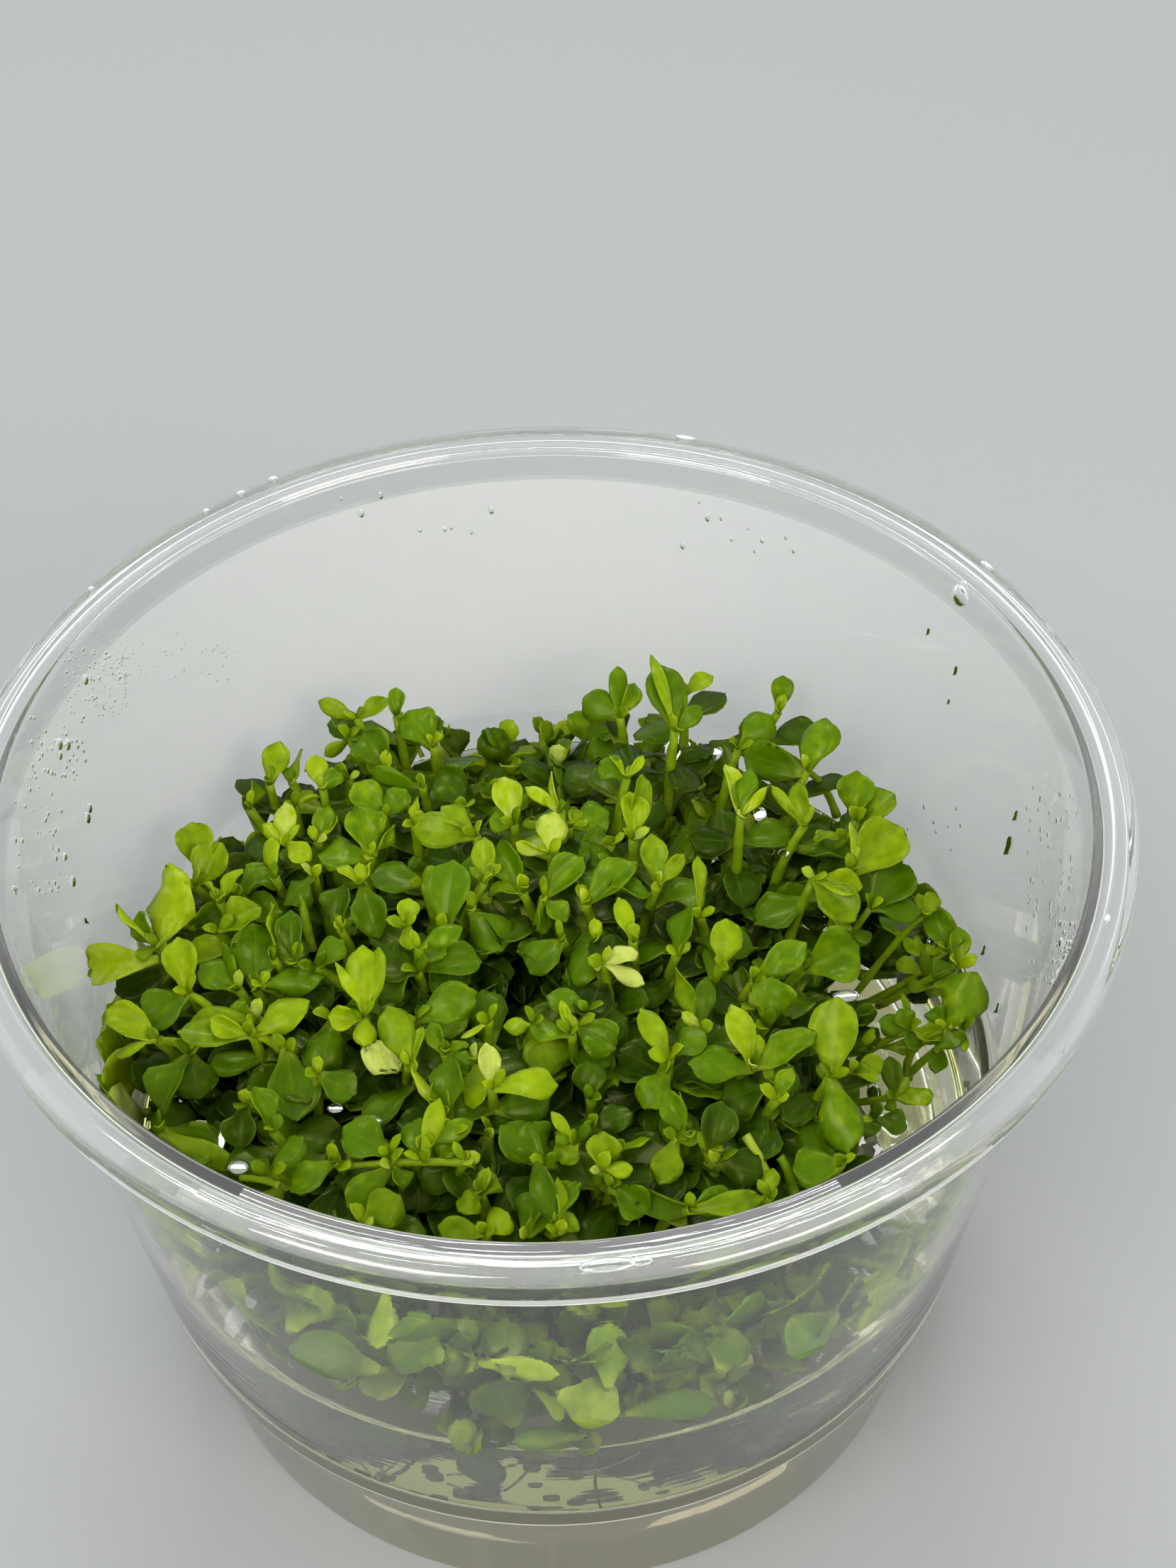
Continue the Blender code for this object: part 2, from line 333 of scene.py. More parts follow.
def cupProfile():
    # Under the floor, down and up the hollow foot, up the wall, over the rim and down inside
    c, r = cup, cupRounds
    underFloor = c["floorHeight"] - c["floorThickness"]
    footTop = c["footRadius"] + c["footFlare"]
    footInside = footTop - c["footWall"] - r["footTop"]
    shoulderLow = c["shoulderHeight"] - c["shoulderRound"]
    underRim = c["rimHeight"] - c["flange"]
    ledge = c["mouthRadius"] + c["ledgeWidth"]
    ledgeHeight = c["rimHeight"] - c["ledgeDrop"]
    skirtIn = c["rimRadius"] - c["skirtWall"]
    skirtFoot = c["rimHeight"] - c["skirtDrop"]
    wallFoot = c["floorHeight"] + c["floorFillet"]
    wallTop = innerWall(underRim) + c["wall"]
    profile = [(0.0, underFloor), (c["floorRing"], underFloor), (footInside, underFloor)]
    profile += bend(footInside, underFloor - r["footTop"], r["footTop"], 90.0, 4.0, 4)[1:]
    profile += [(c["footRadius"] - c["footWall"], c["toeHeight"])]
    profile += bend(c["footRadius"] - c["footWall"] / 2.0, c["toeHeight"], r["toe"], 180.0, 360.0, 8)
    profile += [(c["footRadius"], c["flareFrom"]), (footTop, shoulderLow - c["kneeDrop"]),
                (footTop + c["kneeStep"], shoulderLow)]
    profile += bend(c["shoulderRadius"] - c["shoulderRound"], c["shoulderHeight"], c["shoulderRound"],
                    -75.0, 4.0, 9)
    profile += [(innerWall(h) + c["wall"], h) for h in c["outerHeights"]]
    profile += bend(wallTop + r["underFlange"], underRim - r["underFlange"], r["underFlange"], 180.0, 90.0, 5)
    profile += bend(skirtIn - r["skirtInside"], underRim - r["skirtInside"], r["skirtInside"], 90.0, 0.0, 4)
    skirtMiddle = skirtIn + c["skirtWall"] / 2.0
    profile += bend(skirtMiddle, skirtFoot + r["skirtFoot"], r["skirtFoot"], 180.0, 360.0, 8)
    profile += bend(c["rimRadius"] - r["rim"], c["rimHeight"] - r["rim"], r["rim"], 0.0, 90.0, 8)
    ledgeTopAt = ledge + c["ledgeTopAt"]
    ledgeFootAt = ledge + c["ledgeFootAt"]
    profile += bend(ledgeTopAt, c["rimHeight"] - r["ledgeTop"], r["ledgeTop"], 90.0, 160.0, 3)
    profile += bend(ledgeFootAt, ledgeHeight + c["ledgeFootAt"], r["ledgeFoot"], -20.0, -90.0, 3)
    profile += bend(c["mouthRadius"] + r["mouth"], ledgeHeight - r["mouth"], r["mouth"], 90.0, 180.0, 5)
    profile += [(innerWall(h), h) for h in c["innerHeights"]]
    profile += bend(innerWall(wallFoot) - c["floorFillet"], wallFoot, c["floorFillet"], 0.0, -90.0, 8)
    profile += [(c["floorRing"], c["floorHeight"]), (0.0, c["floorHeight"])]
    return profile


streak = {
    "fine": 1100.0,        # streaks lie round the cup: fine across it, long along it
    "long": 22.0,
    "detail": 3.0,
    "depth": 0.0003,       # m
}
# Each finish of the moulding: share of light let through, roughness, colour, strength of the streaks, IOR
plasticFinishes = {
    "clearWall": (1.0, 0.0, (0.995, 1.0, 0.985), 0.02, 1.36),
    # The hazy rim at the front and sides, the front lip and the shoulder band: white haze placed as painted
    # highlights
    "frontRimPaintedHighlight": (0.88, 0.03, (0.99, 1.0, 0.985), 0.35, 1.49),
    "sideRimPaintedHighlight": (0.96, 0.05, (0.99, 1.0, 0.985), 0.10, 1.49),
    "backRim": (0.99, 0.0, (0.995, 1.0, 0.99), 0.05, 1.49),
    "frontLipPaintedHighlight": (0.50, 0.05, (0.99, 0.99, 1.0), 0.10, 1.49),
    # Haze of the wall, thickened towards the back as painted light that makes the back wall paler
    "faintMistPaintedLight": (0.96, 0.0, (0.995, 1.0, 0.985), 0.02, 1.36),
    "thinMistPaintedLight": (0.91, 0.0, (0.995, 1.0, 0.985), 0.02, 1.36),
    "mistyWallPaintedLight": (0.86, 0.0, (0.995, 1.0, 0.985), 0.02, 1.36),
    "shoulderPaintedHighlight": (0.60, 0.05, (1.0, 0.99, 0.93), 0.10, 1.49),
    "foot": (0.98, 0.0, (1.0, 0.95, 0.66), 0.04, 1.49),
}
finishPlaces = {           # mm
    "rimFrom": 73.1,
    "frontTo": -43.0,      # the hazy part of the rim, a painted highlight, is nearer than this, and the half hazy part, a fainter painted highlight, nearer than this
    "sideTo": -32.0,       # and the half hazy part nearer than this
    "lipTo": -37.0,
    "lipRadius": 49.5,
    "lipHeights": (70.4, 71.3),
    "shoulderHeights": (18.9, 19.5),
    "shoulderRadius": 42.0,
    "footBelow": 17.5,
    "mistHeights": (36.5, 71.0),
    "mistFrom": {"faintMistPaintedLight": -30.0, "thinMistPaintedLight": -18.0, "mistyWallPaintedLight": -6.0},
}


def finishOf(centre):
    # The number of the finish for each face of the cup, from the place of its middle. The mist thickens from
    # the front to the back as painted light that makes the back wall paler, and the white haze of the front
    # rim, the front lip and the shoulder band is a painted highlight
    place = finishPlaces
    x, y, z = centre.T
    reach = np.hypot(x, y)
    names = list(plasticFinishes)
    number = np.zeros(len(centre), np.int32)
    misty, lip, shoulder = ((z > place[key][0]) & (z < place[key][1])
                            for key in ("mistHeights", "lipHeights", "shoulderHeights"))
    rim = z > place["rimFrom"]
    lip &= reach > place["lipRadius"]
    shoulder &= reach > place["shoulderRadius"]
    chosenFaces = {name: misty & (y > start) for name, start in place["mistFrom"].items()}
    chosenFaces.update({
        "backRim": rim,
        "sideRimPaintedHighlight": rim & (y < place["sideTo"]),
        "frontRimPaintedHighlight": rim & (y < place["frontTo"]),
        "frontLipPaintedHighlight": lip & (y < place["lipTo"]),
        "shoulderPaintedHighlight": shoulder,
        "foot": z < place["footBelow"],
    })
    for name, chosen in chosenFaces.items():
        number[chosen] = names.index(name)
    return number


def plasticMaterial(name):
    # Clear moulding. Its streaks are noise read at (distance from the axis + height, x, y), with the first
    # stretched far more than the others
    through, roughness, colour, bumpStrength, bending = plasticFinishes[name]
    material, tree, shader = clearMaterial(name, through, roughness, colour, bending)
    x, y, z = splitParts(tree, objectPlace(tree))
    squares = mathNode(tree, "ADD", mathNode(tree, "MULTIPLY", x, x), mathNode(tree, "MULTIPLY", y, y))
    across = mathNode(tree, "ADD", mathNode(tree, "SQRT", squares), z)
    join = nodeOf(tree, "ShaderNodeCombineXYZ")
    tree.links.new(mathNode(tree, "MULTIPLY", across, streak["fine"]), join.inputs["X"])
    tree.links.new(mathNode(tree, "MULTIPLY", x, streak["long"]), join.inputs["Y"])
    tree.links.new(mathNode(tree, "MULTIPLY", y, streak["long"]), join.inputs["Z"])
    streaks = noiseAt(tree, join.outputs["Vector"], 1.0, streak["detail"])
    addBump(tree, shader, streaks, bumpStrength, streak["depth"])
    return material


finishes = [plasticMaterial(name) for name in plasticFinishes]
points, quads, tris = turned(cupProfile(), cup["segments"])
clearCup = addPiece("clearCup", points, quads, tris, finishes[0], ["cup"])
for finish in finishes[1:]:
    clearCup.data.materials.append(finish)
faceMiddle = np.concatenate([points[quads].mean(1), points[tris].mean(1)])
clearCup.data.polygons.foreach_set("material_index", finishOf(faceMiddle))
print("cup made:", len(points), "points")


# Water
water = {
    "level": 35.2,
    "climb": 0.45,        # how far the meniscus climbs the wall
    "curl": 2.6,         # how sharply it turns up
    "reach": 1.0,        # how far from the wall it starts
    "gap": 0.03,         # the water's skin stands this far off the plastic
    "wallHeight": 28.0,
    "rings": (30.0, 15.0, 0.0),
    "segments": 192,
    "bending": 1.333,
    "colour": (0.97, 0.985, 0.93),
    "depthColour": (0.93, 0.93, 0.55),
    "depthDensity": 26.0,
    "dewColour": (0.98, 0.99, 0.98),
}


def waterProfile():
    # A low disc that fills the cup's floor corner, with its level surface curling up at the wall
    fillet = cup["floorFillet"]
    wallFoot = cup["floorHeight"] + fillet
    gap = water["gap"]
    bottom = cup["floorHeight"] + gap
    top = water["level"] + water["climb"]
    edge = innerWall(top) - gap
    profile = [(0.0, bottom), (cup["floorRing"], bottom)]
    profile += bend(innerWall(wallFoot) - fillet, wallFoot, fillet - gap, -90.0, 0.0, 8)
    profile += [(innerWall(h) - gap, h) for h in (water["wallHeight"], top - 0.1)]
    for share in np.linspace(0.0, 1.0, 9):
        rise = water["climb"] * (1.0 - share) ** water["curl"]
        profile.append((edge - water["reach"] * share, water["level"] + rise))
    profile += [(radius, water["level"]) for radius in water["rings"]]
    return profile


def waterMaterial():
    material, tree, shader = clearMaterial("water", 1.0, 0.0, water["colour"], water["bending"])
    absorb = nodeOf(tree, "ShaderNodeVolumeAbsorption")
    absorb.inputs["Color"].default_value = (*water["depthColour"], 1.0)
    absorb.inputs["Density"].default_value = water["depthDensity"]
    tree.links.new(absorb.outputs["Volume"], tree.nodes["Material Output"].inputs["Volume"])
    return material


wet = waterMaterial()
points, quads, tris = turned(waterProfile(), water["segments"])
addPiece("waterInCup", points, quads, tris, wet, ["water"])
print("water made:", len(points), "points")


# Leaves
leafShape = {
    "widest": 0.60,       # share of the length where the blade is widest
    "stalk": 0.15,        # stalk width as a share of the blade's
    "riseCurve": 1.7,
    "fallCurve": 2.35,
    "end": 1.006,         # the rounded end's curve closes here, a little past the tip
    "thickness": 0.15,    # mm
    "edgeThickness": 0.55,   # share of the thickness at the edge
    "stalkExtra": 0.35,   # mm more at the stalk, which fades over the next share of the length
    "stalkFade": 0.10,
    "tipCurve": 0.055,    # how far the tip's corners draw back
    "rowSpacing": 0.86,   # under 1, the rows of points stand closer together at the tip
    "ripples": (9.0, 2.0, 40.0),     # how fast they run along and across, and with their own height
    "grooveDepth": 0.05,
    "grooveWidth": 0.22,
    "pixelsPerMm": 14.8,
    "lookUp": (0.0, -0.38, 0.925),   # blades turn their faces this way, towards light and the open side
}
# How the blades of each kind vary: spread of the roll in degrees, ranges of cupping, arch and ripple, spread
# of the twist, then rows and columns of points
bladeKinds = {
    "fill": (16.0, (-0.35, 0.5), (0.0, 0.12), (0.0, 0.2), 0.4, 5, 4),
    "shown": (12.0, (-0.55, 0.95), (-0.03, 0.16), (0.03, 0.36), 0.7, 9, 7),
    "bud": (20.0, (0.0, 0.8), (0.0, 0.12), (0.0, 0.1), 0.3, 5, 4),
    "under": (14.0, (-0.35, 0.6), (0.0, 0.12), (0.0, 0.2), 0.4, 7, 5),
    "pressed": (4.0, (-0.34, -0.04), (-0.07, -0.01), (0.0, 0.06), 0.08, 7, 5),
    "behindWall": (4.0, (-0.30, -0.05), (-0.05, 0.0), (0.03, 0.12), 0.1, 10, 7),
    "sunken": (10.0, (-0.2, 0.3), (0.0, 0.08), (0.0, 0.1), 0.2, 6, 5),
}


def unit(vectors):
    return vectors / np.maximum(np.linalg.norm(vectors, axis=-1, keepdims=True), 1e-9)


def wayAt(bearing, slope):
    # The direction at a level bearing and a slope, in radians
    return np.stack([np.cos(bearing) * np.cos(slope), np.sin(bearing) * np.cos(slope), np.sin(slope)], -1)


def onRing(radius, bearing, height):
    return np.stack([radius * np.cos(bearing), radius * np.sin(bearing), height + 0.0 * bearing], -1)


def keepInside(places, gap):
    # Draws places in to at least gap mm from the cup's wall
    reach = np.hypot(places[:, 0], places[:, 1])
    most = innerWall(places[:, 2]) - gap
    places = places.copy()
    places[:, :2] *= np.minimum(1.0, most / reach)[:, None]
    return places


def tableRows(*tables):
    return np.array([row for table in tables for row in table.values()], float)


def bladeBreadth(v):
    # Half width along the leaf: a sine rise from the stalk to the widest place, then a full rounded curve to
    # the tip, a little squarer than a quarter ellipse
    s = leafShape
    rise = np.sin(np.clip(v / s["widest"], 0.0, 1.0) * math.pi / 2.0) ** s["riseCurve"]
    fall = (np.maximum(v - s["widest"], 0.0) / (s["end"] - s["widest"])) ** s["fallCurve"]
    return np.where(v < s["widest"], s["stalk"] + (1.0 - s["stalk"]) * rise,
                    np.sqrt(np.clip(1.0 - fall, 0.0, 1.0)))


def leafBlades(base, tip, width, roll, cupping, arch, wave, twist, rows, columns, aim):
    # A blade is base + along*v + side*u*breadth(v) + normal*(arch*sin(pi v) + cupping*u*u + a ripple + a
    # midrib groove), for u across from -1 to 1 and v along from 0 to 1, worked out for all leaves at once;
    # the side turns about the midrib by twist*(v - 1/2), the two faces stand half a thickness to either side,
    # and a strip of quads closes the edge
    s = leafShape
    count = len(base)
    along = tip - base
    length = np.linalg.norm(along, axis=-1)
    axis = unit(along)
    facing = aim - (aim * axis).sum(-1, keepdims=True) * axis
    normal = unit(facing + 1e-4)
    side = np.cross(axis, normal)
    turn = np.radians(roll)[:, None]
    normal, side = normal * np.cos(turn) + side * np.sin(turn), side * np.cos(turn) - normal * np.sin(turn)
    v = np.sin(np.linspace(0.0, 1.0, rows) * math.pi / 2.0) ** s["rowSpacing"]
    u = np.linspace(-1.0, 1.0, columns)
    uu, vv = np.meshgrid(u, v)
    breadth = bladeBreadth(vv)
    vCurved = vv - s["tipCurve"] * uu ** 2 * vv ** 4
    half, length, wave, twist, arch, cupping = (
        each[:, None, None] for each in (width / 2.0, length, wave, twist, arch, cupping))
    alongRipple, acrossRipple, ownRipple = s["ripples"]
    ripple = wave * np.sin(vv * alongRipple + uu * acrossRipple + wave * ownRipple) * uu ** 2
    groove = -s["grooveDepth"] * half * np.exp(-(uu / s["grooveWidth"]) ** 2) * np.sin(math.pi * vv)
    turning = twist * (vv - 0.5)
    lift = (arch * length * np.sin(math.pi * vv) + ripple * half + groove
            + cupping * half * (uu * breadth) ** 2 + half * uu * breadth * np.sin(turning))
    middle = (base[:, None, None] + axis[:, None, None] * (length * vCurved)[..., None]
              + side[:, None, None] * (half * uu * breadth * np.cos(turning))[..., None]
              + normal[:, None, None] * lift[..., None])
    alongV = np.gradient(middle, axis=1)
    acrossU = np.gradient(middle, axis=2)
    skin = unit(np.cross(acrossU, alongV))
    flip = np.sign((skin * normal[:, None, None]).sum(-1, keepdims=True))
    thick = s["thickness"] * (s["edgeThickness"] + (1.0 - s["edgeThickness"]) * (1.0 - np.abs(uu) ** 3))
    thick += s["stalkExtra"] * np.exp(-vv / s["stalkFade"])
    offset = skin * flip * (thick / 2.0)[None, ..., None]
    points = np.stack([middle + offset, middle - offset], 1).reshape(-1, 3)
    grid = rows * columns
    top = gridQuads(rows, columns)
    loop = np.concatenate([np.arange(columns), columns * np.arange(1, rows) + columns - 1,
                           grid - 2 - np.arange(columns - 1), columns * np.arange(rows - 2, 0, -1)])
    ahead = np.roll(loop, -1)
    rim = np.stack([loop, loop + grid, ahead + grid, ahead], -1)
    one = np.concatenate([top, top[:, ::-1] + grid, rim])
    quads = (one[None] + 2 * grid * np.arange(count)[:, None, None]).reshape(-1, 4)
    across = np.broadcast_to(uu * 0.5 + 0.5, (count, 2, rows, columns)).reshape(-1)
    upward = np.broadcast_to(vv, (count, 2, rows, columns)).reshape(-1)
    return points, quads, np.stack([across, upward], -1)


def variedBlades(rng, kind, base, tip, width, aim, roll=0.0):
    rollSpread, *ranges, twistSpread, rows, columns = bladeKinds[kind]
    count = len(base)
    roll = roll + rng.normal(0.0, rollSpread, count)
    cupping, arch, wave = [rng.uniform(*each, count) for each in ranges]
    twist = rng.normal(0.0, twistSpread, count)
    return leafBlades(base, tip, width, roll, cupping, arch, wave, twist, rows, columns, aim)


stemShape = {
    "kneeRise": 0.6,
    "swell": 0.16,        # the radius swells by this share at the joints
    "joints": 3.0,
    "swellSharpness": 8,
    "footShare": 1.12,    # the radius at the foot, and how much less it is at the head
    "taper": 0.3,
    "aside": (0.03, 1.0, 0.02),      # a direction that no stem runs in
}


def onCurve(foot, knee, head, t):
    return (1 - t) ** 2 * foot + 2 * t * (1 - t) * knee + t ** 2 * head


def kneeOf(foot, head, lean):
    return foot + (head - foot) * np.array([lean, lean, stemShape["kneeRise"]])


def stemTubes(foot, head, radius, lean, rings, sides, bow=(0.0, 0.0, 0.0)):
    # A round tube, with an even number of sides, along the curve (1-t)^2 foot + 2t(1-t) knee + t^2 head,
    # where the knee stands over the foot by the share lean of the way and is pushed aside by bow
    s = stemShape
    t = np.linspace(0.0, 1.0, rings)[None, :, None]
    knee = kneeOf(foot, head, lean) + np.array(bow)
    centre = onCurve(foot[:, None], knee[:, None], head[:, None], t)
    way = unit(np.gradient(centre, axis=1))
    east = unit(np.cross(way, np.array(s["aside"])))
    north = np.cross(way, east)
    turn = 2.0 * math.pi * np.arange(sides) / sides
    swell = 1.0 + s["swell"] * np.cos(s["joints"] * math.pi * t) ** s["swellSharpness"]
    thick = (radius[:, None, None] * swell * (s["footShare"] - s["taper"] * t))[..., None]
    points = (centre[:, :, None] + east[:, :, None] * np.cos(turn)[None, None, :, None] * thick
              + north[:, :, None] * np.sin(turn)[None, None, :, None] * thick)
    count = len(foot)
    each = rings * sides
    wall = gridQuads(rings, sides, closed=True)
    low = np.stack([[0, sides - 1 - k, sides - 2 - k, sides - 3 - k] for k in range(0, sides - 3, 2)])
    high = np.stack([[0, k + 1, k + 2, k + 3] for k in range(0, sides - 3, 2)]) + each - sides
    one = np.concatenate([wall, low, high])
    quads = (one[None] + each * np.arange(count)[:, None, None]).reshape(-1, 4)
    along = np.broadcast_to(t, (count, rings, sides)).reshape(-1)
    return points.reshape(-1, 3), quads, np.stack([np.full(count * each, 0.5), along], -1)


def toned(skin, tone):
    # Adds a tone for each point to a part's points, quads and map, from one tone in all or one for each leaf
    points, quads, uv = skin
    tone = np.atleast_1d(tone)
    return points, quads, uv, np.repeat(tone, len(points) // len(tone))


def joinParts(parts):
    starts = np.cumsum([0] + [len(part[0]) for part in parts])
    points, quads, uvs, tones = zip(*parts)
    quads = [each + start for each, start in zip(quads, starts)]
    return [np.concatenate(each) for each in (points, quads, uvs, tones)]


def paintPiece(piece, uv, tone):
    # uv and tone are given for each point; the map is spread to the face corners
    mesh = piece.data
    corner = np.empty(len(mesh.loops), np.int32)
    mesh.loops.foreach_get("vertex_index", corner)
    layer = mesh.uv_layers.new(name="leafMap")
    layer.data.foreach_set("uv", uv[corner].astype(np.float32).ravel())
    shade = mesh.attributes.new("tone", "FLOAT", "POINT")
    shade.data.foreach_set("value", tone.astype(np.float32))


def addLeaves(name, parts, material, replaced=()):
    points, quads, uv, tone = joinParts(parts)
    piece = addPiece(name, points, quads, noTris, material, replaced)
    paintPiece(piece, uv, tone)
    print(name, "made:", len(quads), "quads")
    return points


def ramp(tree, source, stops):
    node = nodeOf(tree, "ShaderNodeValToRGB")
    elements = node.color_ramp.elements
    while len(elements) < len(stops):
        elements.new(0.5)
    for element, (position, colour) in zip(elements, stops):
        element.position = position
        element.color = (*colour, 1.0)
    tree.links.new(source, node.inputs["Fac"])
    return node.outputs["Color"]


def mixColour(tree, share, first, second, blend="MIX"):
    node = nodeOf(tree, "ShaderNodeMix", data_type="RGBA", blend_type=blend)
    for socket, value in ((node.inputs[0], share), (node.inputs[6], first), (node.inputs[7], second)):
        if hasattr(value, "links"):
            tree.links.new(value, socket)
        elif isinstance(value, tuple):
            socket.default_value = (*value, 1.0)
        else:
            socket.default_value = value
    return node.outputs[2]


leafLook = {
    "stops": ((0.0, (0.50, 0.56, 0.13)), (0.15, (0.31, 0.42, 0.004)), (0.4, (0.088, 0.182, 0.0005)),
              (0.7, (0.024, 0.060, 0.0002)), (1.0, (0.004, 0.011, 0.0002))),
    "through": (0.46, 0.60, 0.002),
    "throughTint": 0.62,
    "throughShare": 0.42,
    "wetThroughShare": 0.15,
    "rib": (0.50, 0.62, 0.05),
    "ribEnd": 1.12,          # the pale rib narrows towards this share of the length
    "ribWidth": 0.075,
    "ribShare": 0.07,
    "stalkFade": 4.5,
    "stalkShare": 0.38,
    "edgeFrom": 0.45,
    "edgeFade": 9.0,
    "edgeHighlightShare": 0.22,
    "mottleScale": 900.0,
    "mottleShare": 0.34,
    "cellScale": 3200.0,
    "cellShare": 0.5,
    "roughness": 0.30,
    "shine": 0.20,
    "shineTint": (1.0, 1.0, 0.30),
    "coat": 0.05,
    "coatRoughness": 0.08,
    "bump": (0.16, 0.00015),
}


def leafMaterial(name, throughShare):
    # Tone picks the green from pale and yellowish, as on young leaves, to dark, which stands for old leaves
    # and for painted shade;
    # mottling, a pale midrib, a pale stalk and a painted highlight along the edge go over it, and part of the
    # light passes through the blade
    look = leafLook
    material, tree, shader = newMaterial(name)
    tone = nodeOf(tree, "ShaderNodeAttribute", attribute_name="tone").outputs["Fac"]
    across, along, _ = splitParts(tree, nodeOf(tree, "ShaderNodeUVMap", uv_map="leafMap").outputs["UV"])
    place = objectPlace(tree)
    mottle = noiseAt(tree, place, look["mottleScale"], 3.0)
    cells = nodeOf(tree, "ShaderNodeTexVoronoi")
    cells.inputs["Scale"].default_value = look["cellScale"]
    tree.links.new(place, cells.inputs["Vector"])
    shift = mathNode(tree, "MULTIPLY", mathNode(tree, "SUBTRACT", mottle, 0.5), look["mottleShare"])
    green = ramp(tree, mathNode(tree, "ADD", tone, shift, clamp=True), look["stops"])
    offRib = mathNode(tree, "ABSOLUTE", mathNode(tree, "SUBTRACT", across, 0.5))
    ribWidth = mathNode(tree, "MULTIPLY", mathNode(tree, "SUBTRACT", look["ribEnd"], along), look["ribWidth"])
    onRib = mathNode(tree, "SUBTRACT", 1.0, mathNode(tree, "DIVIDE", offRib, ribWidth), clamp=True)
    stalk = mathNode(tree, "SUBTRACT", 1.0, mathNode(tree, "MULTIPLY", along, look["stalkFade"]), clamp=True)
    # A painted highlight along the blade's edge
    edge = mathNode(tree, "MULTIPLY", mathNode(tree, "SUBTRACT", offRib, look["edgeFrom"]), look["edgeFade"],
                    clamp=True)
    palerParts = [mathNode(tree, "MULTIPLY", part, look[share])
                  for part, share in ((onRib, "ribShare"), (stalk, "stalkShare"), (edge, "edgeHighlightShare"))]
    pale = mathNode(tree, "ADD", palerParts[0], mathNode(tree, "ADD", *palerParts[1:]), clamp=True)
    colour = mixColour(tree, pale, green, look["rib"])
    tree.links.new(colour, shader.inputs["Base Color"])
    shader.inputs["Roughness"].default_value = look["roughness"]
    shader.inputs["Specular IOR Level"].default_value = look["shine"]
    shader.inputs["Specular Tint"].default_value = (*look["shineTint"], 1.0)
    shader.inputs["Coat Weight"].default_value = look["coat"]
    shader.inputs["Coat Roughness"].default_value = look["coatRoughness"]
    grain = mathNode(tree, "MULTIPLY", cells.outputs["Distance"], look["cellShare"])
    addBump(tree, shader, mathNode(tree, "ADD", grain, mottle), *look["bump"])
    through = nodeOf(tree, "ShaderNodeBsdfTranslucent")
    glow = mixColour(tree, look["throughTint"], colour, look["through"])
    tree.links.new(glow, through.inputs["Color"])
    both = nodeOf(tree, "ShaderNodeMixShader")
    both.inputs[0].default_value = throughShare
    tree.links.new(shader.outputs[0], both.inputs[1])
    tree.links.new(through.outputs[0], both.inputs[2])
    tree.links.new(both.outputs[0], tree.nodes["Material Output"].inputs["Surface"])
    return material


leafGreen = leafMaterial("leafGreen", leafLook["throughShare"])
wetLeaf = leafMaterial("wetLeaf", leafLook["wetThroughShare"])

# The clump's filling: shoots on a sunflower spiral under the leaves that the photo shows one by one
clump = {
    "centre": (1.0, 0.0),
    "radius": 41.5,
    "openWater": (-40.0, 17.0),         # bearings between which the clump ends at a smaller radius
    "openRadius": 29.5,
    "top": 51.0,                        # the dome of the leaves: height, middle and fall
    "topPlace": (1.0, 6.0),
    "fall": 5.0,                        # at fallReach from its middle
    "fallReach": 40.0,
    "droop": 5.5,                       # and how much more it falls beside the open water
    "droopFrom": 27.0,
    "droopReach": 10.0,
    "droopEdge": 10.0,
    "shoots": 340,
    "goldenAngle": 137.508,
    "edgeRoom": 3.5,                    # the stems stand this far inside the clump's edge
    "scatter": 0.7,
    "edgeLean": 4.0,
    "leanSpread": (-1.2, 1.2),
    "crownScatter": 1.0,
    "headDrop": 5.0,                    # the stems end this far under the dome
    "headSpread": (-5.4, 0.6),
    "edgeDrop": 2.0,
    "foot": (34.6, 35.1),               # just under the water's surface
    "footReach": 0.84,                  # the feet stand closer together than the leaves by this share
    "stemRadius": (0.38, 0.56),
    "stemLean": 0.1,
    "stemTone": 0.45,
    "stemGrid": (6, 6),                 # rings, and points in each
    # Crossed pairs of leaves: share of the stem where they grow, size, slope in degrees, tone
    "pairs": ((0.70, 1.0, 4.0, 0.82), (0.85, 0.86, 24.0, 0.67), (1.0, 0.55, 58.0, 0.52)),
    "sizeSpread": (0.8, 1.15),
    "slopeSpread": 13.0,
    "turnSpread": 0.2,
    "length": 5.6,
    "lengthSpread": (0.85, 1.15),
    "broad": (0.66, 0.84),              # width as a share of the length
    "face": (0.0, 0.0, 1.0),            # blades look this way, less faceBack of their own direction
    "faceBack": 0.5,
    "wallGap": 0.8,
    "toneSpread": 0.12,
    "toneRange": (0.05, 1.0),
    "frontPaintedLight": 0.42,                 # leaves nearer than frontFrom, behind the wall, are this much paler: painted light, for the light that the wall and rim keep off them
    "frontFrom": -27.0,
    "frontFade": 6.0,
    "backPaintedLight": 0.24,                  # and those farther than backFrom are this much paler: painted light, as the light stands behind them
    "backFrom": 12.0,
    "backFade": 12.0,
    "seed": 11,
}


def insideOpenWater(x, y):
    # Degrees from the nearer side of the open water's wedge, positive inside it
    degrees = np.degrees(np.arctan2(y, x))
    openFrom, openTo = clump["openWater"]
    return np.minimum(degrees - openFrom, openTo - degrees)


def canopyHeight(x, y):
    # Top of the leaves: a low dome, highest a little behind the middle, that droops towards the open water.
    # The droop grows from droopFrom outwards and fades over the last droopEdge degrees at either side
    c = clump
    r2 = ((x - c["topPlace"][0]) ** 2 + (y - c["topPlace"][1]) ** 2) / c["fallReach"] ** 2
    inside = np.clip(insideOpenWater(x, y) / c["droopEdge"], 0.0, 1.0)
    outward = np.clip((np.hypot(x, y) - c["droopFrom"]) / c["droopReach"], 0.0, 1.0)
    return c["top"] - c["fall"] * r2 - c["droop"] * inside * outward


